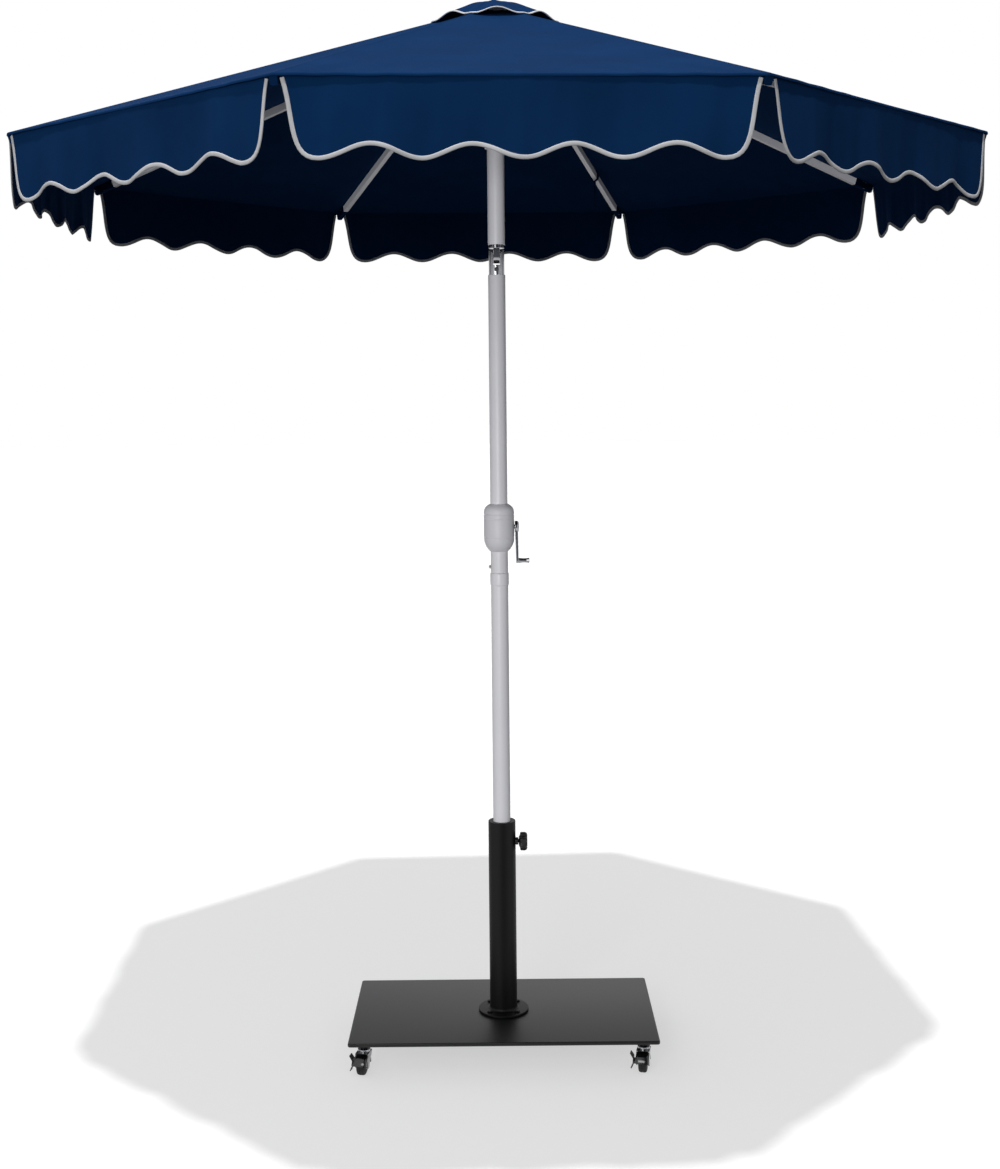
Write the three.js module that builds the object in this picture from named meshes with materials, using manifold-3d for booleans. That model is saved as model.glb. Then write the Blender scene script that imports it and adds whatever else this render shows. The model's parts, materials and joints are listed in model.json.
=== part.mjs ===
// Patio umbrella with a wheeled base: a crank-raised, push-button-tilt umbrella with an eight-sided canopy
// and scalloped valance, standing in a steel plate base on four casters.
//
// Units are millimetres, +Z is up. The origin is on the floor, on the axis of the pole, and the front of
// the umbrella faces -Y. Each sub-part is one named mesh, and repeated sub-parts are numbered.

import * as THREE from 'three';
import { mergeVertices, toCreasedNormals } from 'three/addons/utils/BufferGeometryUtils.js';
import Module from 'manifold-3d';

const wasm = await Module();
wasm.setup();

const DEG = Math.PI / 180;

// ---------------------------------------------------------------- clearances
const TOUCH = 0.3; // between pieces that are fixed to each other
const RUNNING = 0.4; // between a piece and what it slides or turns in, on each side
const PAST = 1; // how far a cutter runs past a face, and a joined piece into its neighbour

// ---------------------------------------------------------------- canopy
const SIDES = 8; // ribs, cloth panels and valance flaps
const CANOPY_RADIUS = 1040; // pole axis to a corner of the canopy
const CANOPY_TURN = 2.8; // degrees that the canopy stands turned on the pole
const RIM_HEIGHT = 1943; // floor to the top of the cloth at a corner
const RIB_SLOPE = 18.35; // degrees that an open rib falls below the horizontal
const RIB_CLOSED = 83; // the same with the canopy folded
const CLOTH = 1.7; // upright thickness of the cloth panels
const CLOTH_LIFT = 1.2; // cloth above the ribs' top faces, for the fall of the facets beside a rib
const SEAM = 0.3; // gap between two panels along a rib
const VENT_RADIUS = 72; // corner radius of the opening under the vent cap

// ---------------------------------------------------------------- valance
const FLAP = 1.8; // thickness of a flap
const FLAP_GAP = 22; // opening between two flaps at a corner
const LOBES = 5; // downward lobes along one flap
const LOBE_END = 61; // side of a flap to the middle of its last lobe
const LOBE_DROP = 136; // rim to the bottom of a lobe
const CREST_DROP = 113; // rim to the top of a notch between lobes
const LOBE_STEPS = 6; // straight lines in one lobe
const FLAP_SWEEP = 22; // how far a flap's side curves in halfway down
const FLAP_HEEL = 8; // the same where the side turns into the last lobe

// ---------------------------------------------------------------- vent cap
const CAP_RADIUS = 150; // pole axis to a corner of the cap
const CAP_FOLD = 6; // edge of the crown's disc to the fold where the cap starts to slope
const CAP_ARCH = 17; // how far the middle of a cap edge arches up
const CAP_ARCH_HALF = 43; // half the width of that arch
const CAP_ARCH_FROM = 90; // pole axis to where the arch starts to be cut

// ---------------------------------------------------------------- ribs and struts
const HINGE_OUT = 13; // pole's surface to the hinges in the crown and in the runner
const HUB_EDGE = 8; // those hinges to the edge of the crown and of the runner
const RIB_WIDTH = 12;
const RIB_HEIGHT = 16;
const RIB_WALL = 1; // wall of the rectangular tube
const TONGUE = 6; // thickness of a rib's inner end and of a strut
const TONGUE_HEIGHT = 13;
const RIB_EYE = 6.8; // outer radius of the eye at a rib's inner end
const RIB_START = 48; // hinge to the start of a rib's full section
const RIB_PLUG = 8; // solid part of that section, around the inner end
const RIB_TIP_INSET = 8; // rib tip inside the canopy corner
const BRACKET_REACH = 380; // rib hinge to the strut's pivot, along the rib
const BRACKET_GAP = 0.8; // a strut's eye to the underside of its rib
const EAR = 2; // thickness of a bracket ear
const EAR_RADIUS = 6.4;
const STRUT_HEIGHT = 9;
const STRUT_EYE = 5.2;
const PIN = 1.5; // radius of a hinge pin

// ---------------------------------------------------------------- crown
const CROWN_BELOW = 14; // hub below the hinge level
const SLOT_ROOM = 1.2; // a rib's eye to the top of its slot
const CROWN_TOP = 12; // hub above the hinge level
const CROWN_NECK = 14; // radius of the neck under the cap's disc
const CROWN_CHAMFER = 3; // fall of the hub's top and rise of the disc's underside
const CROWN_ROOF = 3; // top of the rib slots down to the end of the pole's socket
const CAP_DISC = 28; // radius of the disc that carries the vent cap
const CAP_DISC_LEVEL = 20; // underside of that disc above the hinge level
const CAP_DISC_THICKNESS = 3;
const FINIAL_RADIUS = 14;
const FINIAL_HEIGHT = 13;

// ---------------------------------------------------------------- runner
const RUNNER_FLANGE = 12; // half the height of the slotted flange
const RUNNER_SKIRT = 26; // skirt below the hinge level
const RUNNER_WALL = 4.4; // wall of the skirt
const RUNNER_ROOM = 0.6; // runner's bore around the pole

// ---------------------------------------------------------------- pole
const POLE = 38; // outer diameter of every pole section
const POLE_WALL = 1.5;
const TILT_LEVEL = 1735; // floor to the tilt pivot
const TILT_TOP = 26; // tilt pivot to the bottom of the upper pole
const TILT_BOTTOM = 40.5; // tilt pivot down to the top of the middle pole
const INSERT_DEPTH = 50; // how far each half of the tilt joint sits inside its tube
const TILT_TONGUE = 14; // thickness of the tongue between the cheeks
const TILT_TONGUE_RADIUS = 15;
const TILT_CHEEK_RADIUS = 16.5;
const TILT_SLOT_FLOOR = 19; // pivot to the floor of the slot
const TILT_SHOULDER = 18.5; // pivot to the shoulder of the upper half
const TILT_PIN = 3;
const TILT_BUTTON_DROP = 29; // button's centre below the pivot
const TILT_BUTTON = 4.5; // radius of the button
const TILT_BUTTON_PROUD = 1.6; // button in front of the insert
const TILT_BUTTON_TRAVEL = 3;
const TILT_BUTTON_WELL = 4; // how far the button's bore goes past the pole axis

// ---------------------------------------------------------------- crank
const CRANK_LEVEL = 1137.6; // floor to the crank shaft
const HOUSING_RADIUS = 33.4;
const HOUSING_ABOVE = 50.8; // housing above the crank shaft
const HOUSING_BELOW = 53.9;
const HOUSING_SHOULDER = 22; // rounding at both ends
const HOUSING_CAVITY = 27; // radius inside the housing
const HOUSING_NECK = 2; // width of the flat rim around the pole at both ends
const HOUSING_TAPER = 6; // height over which the bore widens to the cavity
const BAND_DEPTH = 0.9; // groove beside each band
const BAND_LEVELS = [-28, 21]; // grooves, from the crank shaft
const BAND_HEIGHT = 3;
const SHAFT = 4.6; // radius of the crank shaft
const CRANK_HUB = 13; // radius of the crank's hub
const CRANK_HUB_GAP = 1.2; // housing to the hub
const CRANK_HUB_LENGTH = 9.4;
const CRANK_ARM_INSET = 2.4; // the hub's inner face to the arm's
const CRANK_ARM_THICKNESS = 5;
const CRANK_ARM_WIDTH = 12;
const CRANK_REACH = 75; // shaft to the grip's axis
const GRIP = 6; // radius of the grip
const GRIP_LENGTH = 24;
const GRIP_PIN = 2.2;
const DRUM = 9; // radius of the drum that winds the lifting cord
const DRUM_ROOM = 1; // the drum's rims to the pole's bore
const DRUM_HALF = 10; // half the drum's length
const DRUM_RIM = 2; // thickness of its rims

// ---------------------------------------------------------------- lower pole
const JOIN_LEVEL = 1036.3; // floor to the joint between middle and lower pole
const COLLAR_STEP = 1.5; // how far the swaged collar stands out of the lower pole
const COLLAR_HEIGHT = 25.7;
const COLLAR_TAPER = 3; // height of the collar's lower cone
const COLLAR_CHAMFER = 2; // height of its upper cone
const NECK_DOWN = [8, 14]; // where the bore narrows for the stub, below the joint
const STUB_LENGTH = 45; // lower pole inside the middle pole
const SNAP_LEVEL = 1049; // floor to the snap button
const SNAP_BUTTON = 3.7; // radius
const SNAP_PROUD = 4.8; // button in front of the pole
const SNAP_FLANGE = 5; // radius of the button's inner flange
const SNAP_FLANGE_THICKNESS = 1.6;

// ---------------------------------------------------------------- base
const PLATE_WIDTH = 657;
const PLATE_DEPTH = 354;
const PLATE = 8; // thickness
const PLATE_CORNER = 5;
const SLEEVE = 60; // outer diameter of the sleeve
const SLEEVE_WALL = 3;
const SLEEVE_TOP = 488; // floor to the top of the sleeve
const SLEEVE_GUIDE = 20; // height of the guide ring inside its top
const FLANGE = 110; // diameter of the flange
const FLANGE_THICKNESS = 5;
const BOLTS = 4;
const BOLT_HEAD = 5.5; // radius
const BOLT_HEIGHT = 3.5;
const KNOB_LEVEL = 442; // floor to the clamp knob
const KNOB_BOSS = 8; // radius of the nut welded to the sleeve
const KNOB_BOSS_LENGTH = 6; // nut in front of the sleeve
const KNOB_SCREW = 4;
const KNOB_GAP = 1; // nut to the knob
const KNOB_DEPTH = 19;
const KNOB_RADIUS = 18.6;
const KNOB_LOBES = 7;
const KNOB_LOBE = 1.9; // how far the lobes stand in and out
const KNOB_LOBE_STEPS = 6; // straight lines in one lobe
const KNOB_BEVEL = 1.5;

// ---------------------------------------------------------------- casters
const CASTER_SIDE = 32.5; // a caster in from the plate's short side
const CASTER_FRONT = 29; // a caster in from the plate's long side
const CASTER_TURN = -12; // degrees that the casters stand turned from straight forward
const BOSS_RADIUS = 7.6;
const BOSS_HEIGHT = 12;
const STEM = 4; // radius of a caster's stem
const STEM_ROOM = 2; // the stem's end to the bottom of its bore
const RACE_RADIUS = 13.5;
const RACE_HEIGHT = 5;
const WHEEL_FLAT = 20; // axle to the tread's flats
const WHEEL_WIDTH = 18;
const WHEEL_SIDES = 20;
const WHEEL_EDGE = 2.5; // chamfer of the tread's edges
const WHEEL_HUB = 1; // hub beyond the tread on each side
const HUB_RADIUS = 8;
const TRAIL = 14; // stem axis to the axle
const CHEEK = 2.5; // thickness of a fork cheek
const CHEEK_ROOM = 1.5; // the wheel's hub to a cheek
const AXLE = 3;
const CROWN_PLATE = 2.5; // thickness of a fork's top plate
const FORK_EYE = 7; // radius of a cheek's round end at the axle
const FORK_FRONT = 11.5; // stem axis to the fork's front edge
const FORK_BACK = 18; // stem axis to the back edge of the top plate
const FORK_BEND = 2; // height of the cheeks' straight part under the top plate
const CROWN_ROOM = 2.1; // the wheel's upper flat to that plate
const BRAKE_OUT = 4.5; // a cheek's outer face to the pedal's pivot
const BRAKE_RISE = 2; // the axle to the pedal's pivot
const BRAKE_BARREL = 3;
const BRAKE_HALF = 7; // half the pedal's width
const BRAKE_LUG = 2.5; // thickness of the lugs that hold its pin

// ---------------------------------------------------------------- materials
const finish = (color, roughness, metalness) =>
  new THREE.MeshStandardMaterial({ color, roughness, metalness, side: THREE.FrontSide });
const navyCloth = finish('#123a63', 0.85, 0);
const whitePaint = finish('#d9d9de', 0.45, 0.1);
const greyCasting = finish('#cfcfd4', 0.5, 0.1);
const brightSteel = finish('#c4c6c8', 0.2, 1);
const blackPaint = finish('#1b1b1c', 0.55, 0.3);
const blackPlastic = finish('#161617', 0.5, 0);
const blackRubber = finish('#1c1c1d', 0.8, 0);

// ---------------------------------------------------------------- solids
const ROUND = 24; // sides of a turned piece

// A closed geometry as a manifold, with shared vertices merged and empty triangles left out.
function solid(geometry) {
  const bare = geometry.clone();
  bare.deleteAttribute('normal');
  bare.deleteAttribute('uv');
  const merged = mergeVertices(bare, 1e-4);
  const index = merged.getIndex().array;
  const triangles = [];
  for (let i = 0; i < index.length; i += 3) {
    const [a, b, c] = index.slice(i, i + 3);
    if (a !== b && b !== c && c !== a) triangles.push(a, b, c);
  }
  return new wasm.Manifold(
    new wasm.Mesh({
      numProp: 3,
      vertProperties: merged.getAttribute('position').array,
      triVerts: new Uint32Array(triangles),
    }),
  );
}

const join = (...geometries) => geometry(geometries.map(solid).reduce((a, b) => a.add(b)));

const cut = (body, ...tools) => geometry(tools.map(solid).reduce((a, b) => a.subtract(b), solid(body)));

const common = (a, b) => geometry(solid(a).intersect(solid(b)));

function geometry(manifold) {
  const { vertProperties, triVerts } = manifold.getMesh();
  const result = new THREE.BufferGeometry();
  result.setAttribute('position', new THREE.BufferAttribute(vertProperties, 3));
  result.setIndex(new THREE.BufferAttribute(triVerts, 1));
  return result;
}

// A box between two corners.
function block([x0, y0, z0], [x1, y1, z1]) {
  const box = new THREE.BoxGeometry(x1 - x0, y1 - y0, z1 - z0);
  return box.translate((x0 + x1) / 2, (y0 + y1) / 2, (z0 + z1) / 2);
}

// A solid of revolution about Z. The profile is a list of [radius, height].
function turned(profile, segments = ROUND, start = 0) {
  const points = profile.map(([r, z]) => new THREE.Vector2(r, z));
  return new THREE.LatheGeometry(points, segments, start).rotateX(90 * DEG);
}

// A ring or tube: outer and inner radius between two heights.
function ring(outer, inner, low, high, segments = ROUND) {
  const profile = [[inner, low], [outer, low], [outer, high], [inner, high], [inner, low]];
  return turned(profile, segments);
}

// Round bars along each axis, between two stations on it.
function barZ(radius, low, high, segments = ROUND) {
  return new THREE.CylinderGeometry(radius, radius, high - low, segments)
    .rotateX(90 * DEG)
    .translate(0, 0, (low + high) / 2);
}

function barX(radius, low, high, segments = 20) {
  return new THREE.CylinderGeometry(radius, radius, high - low, segments)
    .rotateZ(90 * DEG)
    .translate((low + high) / 2, 0, 0);
}

function barY(radius, low, high, segments = 12) {
  return new THREE.CylinderGeometry(radius, radius, high - low, segments)
    .translate(0, (low + high) / 2, 0);
}

// An outline in the XZ plane, thickened along Y about the plane.
function slabY(outline, thickness, curveSegments = 5) {
  return new THREE.ExtrudeGeometry(outline, { depth: thickness, bevelEnabled: false, curveSegments })
    .rotateX(90 * DEG)
    .translate(0, thickness / 2, 0);
}

const shapeOf = (points) => new THREE.Shape(points.map(([x, y]) => new THREE.Vector2(x, y)));

function named(name, geom, material) {
  const mesh = new THREE.Mesh(toCreasedNormals(geom, 35 * DEG), material);
  mesh.name = name;
  return mesh;
}

function placed(object, { position = [0, 0, 0], y = 0, z = 0 }) {
  object.position.set(...position);
  object.rotation.set(0, y * DEG, z * DEG);
  return object;
}

function group(...children) {
  const result = new THREE.Group();
  result.add(...children);
  return result;
}

// ---------------------------------------------------------------- derived levels and angles
const poleRadius = POLE / 2;
const poleBore = poleRadius - POLE_WALL;
const hingeRadius = poleRadius + HINGE_OUT;
const hubRadius = hingeRadius + HUB_EDGE;
const crownSlotTop = RIB_EYE + SLOT_ROOM;
const socketTop = crownSlotTop - CROWN_ROOF; // end of the pole's socket in the crown
const bracketDrop = RIB_HEIGHT / 2 + STRUT_EYE + BRACKET_GAP; // the pivot below the rib's centre line
const slopeRatio = Math.tan(RIB_SLOPE * DEG);
const ribTopRise = RIB_HEIGHT / 2 / Math.cos(RIB_SLOPE * DEG);
const clothUnder = ribTopRise + CLOTH_LIFT; // rib centre line to the underside of the cloth, upright
const hingeLevel =
  RIM_HEIGHT - CLOTH - clothUnder + slopeRatio * (CANOPY_RADIUS - hingeRadius);
const halfSide = 180 / SIDES;
const apothem = Math.cos(halfSide * DEG);

// The rib hinge, the bracket pivot and the runner hinge make an isosceles triangle.
const strutLength = Math.hypot(BRACKET_REACH, bracketDrop);
const strutSlope = RIB_SLOPE + Math.atan2(bracketDrop, BRACKET_REACH) / DEG;
const runnerLevel = hingeLevel - 2 * strutLength * Math.sin(strutSlope * DEG);

// The base stacks up from the floor: wheel, fork, race, boss and plate.
const crownLow = 2 * WHEEL_FLAT + CROWN_ROOM;
const raceTop = crownLow + CROWN_PLATE + RACE_HEIGHT;
const plateLevel = raceTop + RUNNING + BOSS_HEIGHT + PLATE;

const cornerTurn = (number) => -90 - halfSide + CANOPY_TURN + (number - 1) * 2 * halfSide;
const numbers = Array.from({ length: SIDES }, (_, i) => i + 1);

// ---------------------------------------------------------------- canopy cloth
// One flat panel between two ribs: its plan is thickened upright and then sheared to the panel's slope.
function panelGeometry() {
  const side = SEAM / 2 / Math.sin(halfSide * DEG); // shifts the outline in from both rib lines
  const edge = (u) => (u - side) * Math.tan(halfSide * DEG);
  const inner = VENT_RADIUS * apothem;
  const outer = CANOPY_RADIUS * apothem;
  const plan = shapeOf([
    [inner, -edge(inner)],
    [outer, -edge(outer)],
    [outer, edge(outer)],
    [inner, edge(inner)],
  ]);
  const sheet = new THREE.ExtrudeGeometry(plan, { depth: CLOTH, bevelEnabled: false });
  const fall = slopeRatio / apothem;
  const shear = new THREE.Matrix4().set(1, 0, 0, 0, 0, 1, 0, 0, -fall, 0, 1, 0, 0, 0, 0, 1);
  const apexLevel = RIM_HEIGHT - CLOTH + slopeRatio * CANOPY_RADIUS;
  return sheet.applyMatrix4(shear).translate(0, 0, apexLevel);
}

// One flap of the valance: straight top, sides that curve in, and a scalloped bottom.
function flapGeometry() {
  const halfWidth = CANOPY_RADIUS * Math.sin(halfSide * DEG) - FLAP_GAP / 2;
  const lastLobe = halfWidth - LOBE_END;
  const pitch = (2 * lastLobe) / (LOBES - 1);
  const middle = (LOBE_DROP + CREST_DROP) / 2;
  const swing = (LOBE_DROP - CREST_DROP) / 2;
  const top = RIM_HEIGHT - CLOTH - TOUCH;
  const level = (drop) => RIM_HEIGHT - drop;
  const outline = new THREE.Shape();
  outline.moveTo(-halfWidth, top);
  outline.bezierCurveTo(
    -halfWidth + FLAP_SWEEP, level(CREST_DROP * 0.55),
    -halfWidth + FLAP_HEEL, level(LOBE_DROP),
    -lastLobe, level(LOBE_DROP),
  );
  const steps = (LOBES - 1) * LOBE_STEPS;
  for (let i = 1; i <= steps; i++) {
    const v = -lastLobe + (i / LOBE_STEPS) * pitch;
    outline.lineTo(v, level(middle + swing * Math.cos((2 * Math.PI * i) / LOBE_STEPS)));
  }
  outline.bezierCurveTo(
    halfWidth - FLAP_HEEL, level(LOBE_DROP),
    halfWidth - FLAP_SWEEP, level(CREST_DROP * 0.55),
    halfWidth, top,
  );
  const flap = new THREE.ExtrudeGeometry(outline, { depth: FLAP, bevelEnabled: false, curveSegments: 6 });
  return flap
    .rotateX(90 * DEG)
    .rotateZ(90 * DEG)
    .translate(CANOPY_RADIUS * apothem - FLAP, 0, 0);
}

// The vent cap: an eight-sided hood with arched edges, resting on the crown's disc.
function capGeometry() {
  const topLevel = hingeLevel + CAP_DISC_LEVEL + CAP_DISC_THICKNESS + TOUCH;
  const edgeLevel =
    RIM_HEIGHT + slopeRatio * (CANOPY_RADIUS - CAP_RADIUS) + 2 * TOUCH;
  const hood = turned(
    [
      [0, topLevel],
      [CAP_DISC + CAP_FOLD, topLevel],
      [CAP_RADIUS, edgeLevel],
      [CAP_RADIUS, edgeLevel + CLOTH],
      [CAP_DISC + CAP_FOLD, topLevel + CLOTH],
      [0, topLevel + CLOTH],
    ],
    SIDES,
    -halfSide * DEG,
  );
  const archRadius = (CAP_ARCH_HALF ** 2 + CAP_ARCH ** 2) / (2 * CAP_ARCH);
  const arches = numbers.map((number) =>
    barX(archRadius, CAP_ARCH_FROM, CAP_RADIUS + PAST, 36)
      .translate(0, 0, edgeLevel + CAP_ARCH - archRadius)
      .rotateZ((-90 + (number - 1) * 2 * halfSide) * DEG),
  );
  return cut(hood, ...arches);
}

// ---------------------------------------------------------------- ribs and struts
// A rib lies along +X from its hinge at the origin, with its pivot bracket below.
function ribGeometry() {
  const length = (CANOPY_RADIUS - RIB_TIP_INSET - hingeRadius) / Math.cos(RIB_SLOPE * DEG);
  const earInside = TONGUE / 2 + RUNNING;
  const ears = [-earInside - EAR, earInside].map((y) => {
    const plate = block(
      [BRACKET_REACH - EAR_RADIUS, y, -bracketDrop],
      [BRACKET_REACH + EAR_RADIUS, y + EAR, RIB_WALL / 2 - RIB_HEIGHT / 2],
    );
    const end = barY(EAR_RADIUS, y, y + EAR).translate(BRACKET_REACH, 0, -bracketDrop);
    return join(plate, end);
  });
  const body = join(
    barY(RIB_EYE, -TONGUE / 2, TONGUE / 2),
    block([0, -TONGUE / 2, -TONGUE_HEIGHT / 2], [RIB_START + PAST, TONGUE / 2, TONGUE_HEIGHT / 2]),
    block([RIB_START, -RIB_WIDTH / 2, -RIB_HEIGHT / 2], [length, RIB_WIDTH / 2, RIB_HEIGHT / 2]),
    ...ears,
    barY(PIN, -earInside - PAST, earInside + PAST, 8).translate(BRACKET_REACH, 0, -bracketDrop),
  );
  const inside = RIB_WIDTH / 2 - RIB_WALL;
  const tubeBore = block(
    [RIB_START + RIB_PLUG, -inside, RIB_WALL - RIB_HEIGHT / 2],
    [length + PAST, inside, RIB_HEIGHT / 2 - RIB_WALL],
  );
  return cut(body, barY(PIN + TOUCH, -TONGUE, TONGUE, 8), tubeBore);
}

// A strut lies along +X from its runner end at the origin to its bracket end.
function strutGeometry() {
  const body = join(
    barY(STRUT_EYE, -TONGUE / 2, TONGUE / 2),
    block([0, -TONGUE / 2, -STRUT_HEIGHT / 2], [strutLength, TONGUE / 2, STRUT_HEIGHT / 2]),
    barY(STRUT_EYE, -TONGUE / 2, TONGUE / 2).translate(strutLength, 0, 0),
  );
  return cut(
    body,
    barY(PIN + TOUCH, -TONGUE, TONGUE, 8),
    barY(PIN + TOUCH, -TONGUE, TONGUE, 8).translate(strutLength, 0, 0),
  );
}

// The slots for ribs or struts around a hub, from an inner radius outwards.
function slots(inner, outer, low, high) {
  const half = TONGUE / 2 + RUNNING;
  return numbers.map((number) =>
    block([inner, -half, low], [outer, half, high]).rotateZ(cornerTurn(number) * DEG),
  );
}

// ---------------------------------------------------------------- crown, finial and runner
function crownGeometry() {
  const slotInside = hingeRadius - RIB_EYE - RUNNING;
  const discLow = CAP_DISC_LEVEL;
  const discHigh = CAP_DISC_LEVEL + CAP_DISC_THICKNESS;
  const body = turned([
    [0, socketTop],
    [poleRadius + TOUCH, socketTop],
    [poleRadius + TOUCH, -CROWN_BELOW],
    [hubRadius, -CROWN_BELOW],
    [hubRadius, CROWN_TOP],
    [CROWN_NECK, CROWN_TOP + CROWN_CHAMFER],
    [CROWN_NECK, discLow - CROWN_CHAMFER],
    [CAP_DISC, discLow],
    [CAP_DISC, discHigh],
    [0, discHigh],
  ]);
  const hub = cut(body, ...slots(slotInside, hubRadius + PAST, -CROWN_BELOW - PAST, crownSlotTop));
  const pinHalf = TONGUE / 2 + RUNNING + PAST;
  const pins = numbers.map((number) =>
    barY(PIN, -pinHalf, pinHalf, 8)
      .translate(hingeRadius, 0, 0)
      .rotateZ(cornerTurn(number) * DEG),
  );
  return join(hub, ...pins);
}

function finialGeometry() {
  const low = hingeLevel + CAP_DISC_LEVEL + CAP_DISC_THICKNESS + CLOTH + 2 * TOUCH;
  return turned(
    [
      [0, low],
      [FINIAL_RADIUS, low],
      [FINIAL_RADIUS, low + FINIAL_HEIGHT * 0.35],
      [FINIAL_RADIUS * 0.8, low + FINIAL_HEIGHT * 0.75],
      [FINIAL_RADIUS * 0.4, low + FINIAL_HEIGHT],
      [0, low + FINIAL_HEIGHT],
    ],
    16,
  );
}

// The runner's slots go right through its flange, because the struts' ends leave their hinge level
// while the canopy folds.
function runnerGeometry() {
  const bore = poleRadius + RUNNER_ROOM;
  const skirtRadius = bore + RUNNER_WALL;
  const body = turned([
    [bore, -RUNNER_SKIRT],
    [skirtRadius, -RUNNER_SKIRT],
    [skirtRadius, -RUNNER_FLANGE],
    [hubRadius, -RUNNER_FLANGE],
    [hubRadius, RUNNER_FLANGE],
    [bore, RUNNER_FLANGE],
    [bore, -RUNNER_SKIRT],
  ]);
  return cut(body, ...slots(skirtRadius, hubRadius + PAST, -RUNNER_FLANGE - PAST, RUNNER_FLANGE + PAST));
}

// ---------------------------------------------------------------- pole sections and tilt joint
const upperPoleLow = TILT_LEVEL + TILT_TOP;
const middlePoleHigh = TILT_LEVEL - TILT_BOTTOM;
const insertRadius = poleBore - TOUCH;

const upperPoleGeometry = () =>
  ring(poleRadius, poleBore, upperPoleLow, hingeLevel + socketTop - TOUCH);

function middlePoleGeometry() {
  return cut(
    ring(poleRadius, poleBore, JOIN_LEVEL + TOUCH, middlePoleHigh),
    barX(SNAP_BUTTON + RUNNING, -POLE, 0).translate(0, 0, SNAP_LEVEL),
    barX(SHAFT + RUNNING, 0, POLE).translate(0, 0, CRANK_LEVEL),
  );
}

// The lower half of the tilt joint: an insert with two round cheeks, a pin across them and the button's bore.
function tiltLowerGeometry() {
  const high = TILT_CHEEK_RADIUS;
  const body = barZ(insertRadius, -TILT_BOTTOM - INSERT_DEPTH, high);
  const top = join(
    block([-POLE, -POLE, -TILT_BOTTOM - INSERT_DEPTH - PAST], [POLE, POLE, 0]),
    barX(TILT_CHEEK_RADIUS, -POLE, POLE),
  );
  const half = TILT_TONGUE / 2 + RUNNING;
  const slot = block([-half, -POLE, -TILT_SLOT_FLOOR], [half, POLE, POLE]);
  const bore = barY(TILT_BUTTON + RUNNING, -POLE, TILT_BUTTON_WELL, 16)
    .translate(0, 0, -TILT_BUTTON_DROP);
  const pin = barX(TILT_PIN, -half - PAST, half + PAST, 16);
  return join(cut(common(body, top), slot, bore), pin);
}

// The upper half: an insert with a shoulder and a round tongue that turns on the pin.
function tiltUpperGeometry() {
  const insert = barZ(insertRadius, TILT_SHOULDER, TILT_TOP + INSERT_DEPTH);
  const half = TILT_TONGUE / 2;
  const tongue = join(
    barX(TILT_TONGUE_RADIUS, -half, half),
    block([-half, -TILT_TONGUE_RADIUS, 0], [half, TILT_TONGUE_RADIUS, TILT_SHOULDER + PAST]),
  );
  const turning = common(tongue, barZ(insertRadius, -POLE, POLE));
  return cut(join(insert, turning), barX(TILT_PIN + RUNNING, -POLE, POLE, 16));
}

function tiltButtonGeometry() {
  const front = -insertRadius - TILT_BUTTON_PROUD;
  return barY(TILT_BUTTON, front, -TILT_BUTTON_TRAVEL, 16).translate(0, 0, -TILT_BUTTON_DROP);
}

// ---------------------------------------------------------------- crank
// The crank's frame has its origin where the shaft crosses the pole axis.
const hubStart = HOUSING_RADIUS + CRANK_HUB_GAP;
const hubEnd = hubStart + CRANK_HUB_LENGTH;
const armStart = hubStart + CRANK_ARM_INSET;
const armEnd = armStart + CRANK_ARM_THICKNESS;

function housingGeometry() {
  const bore = poleRadius + TOUCH;
  const low = -HOUSING_BELOW;
  const high = HOUSING_ABOVE;
  const neck = bore + HOUSING_NECK;
  const round = (level, towards) =>
    [0, 45, 90].map((turn) => [
      neck + (HOUSING_RADIUS - neck) * Math.sin(turn * DEG),
      level + towards * HOUSING_SHOULDER * (1 - Math.cos(turn * DEG)),
    ]);
  const groove = (level) => [
    [HOUSING_RADIUS, level],
    [HOUSING_RADIUS - BAND_DEPTH, level],
    [HOUSING_RADIUS - BAND_DEPTH, level + BAND_HEIGHT],
    [HOUSING_RADIUS, level + BAND_HEIGHT],
  ];
  const shell = turned([
    [bore, low],
    ...round(low, 1),
    ...BAND_LEVELS.flatMap(groove),
    ...round(high, -1).reverse(),
    [bore, high],
    [bore, high - HOUSING_SHOULDER],
    [HOUSING_CAVITY, high - HOUSING_SHOULDER - HOUSING_TAPER],
    [HOUSING_CAVITY, low + HOUSING_SHOULDER + HOUSING_TAPER],
    [bore, low + HOUSING_SHOULDER],
    [bore, low],
  ]);
  return cut(shell, barX(SHAFT + RUNNING, 0, POLE * 2));
}

function crankGeometry() {
  const arm = block(
    [armStart, -CRANK_ARM_WIDTH / 2, -CRANK_REACH],
    [armEnd, CRANK_ARM_WIDTH / 2, 0],
  );
  const foot = barX(CRANK_ARM_WIDTH / 2, armStart, armEnd).translate(0, 0, -CRANK_REACH);
  const gripPin = barX(GRIP_PIN, armStart + PAST, armEnd + GRIP_LENGTH, 12)
    .translate(0, 0, -CRANK_REACH);
  return join(
    barX(SHAFT, -DRUM_HALF, hubStart + PAST, 16),
    barX(CRANK_HUB, hubStart, hubEnd),
    arm,
    foot,
    gripPin,
  );
}

function gripGeometry() {
  const start = armEnd + RUNNING;
  const body = turned(
    [
      [0, start],
      [GRIP - 1, start],
      [GRIP, start + 2],
      [GRIP - 0.7, start + GRIP_LENGTH / 2],
      [GRIP, start + GRIP_LENGTH - 2],
      [GRIP - 1.5, start + GRIP_LENGTH],
      [0, start + GRIP_LENGTH],
    ],
    16,
  ).rotateY(90 * DEG);
  return cut(body, barX(GRIP_PIN + RUNNING, 0, armEnd + GRIP_LENGTH + PAST, 12))
    .translate(0, 0, -CRANK_REACH);
}

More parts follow.
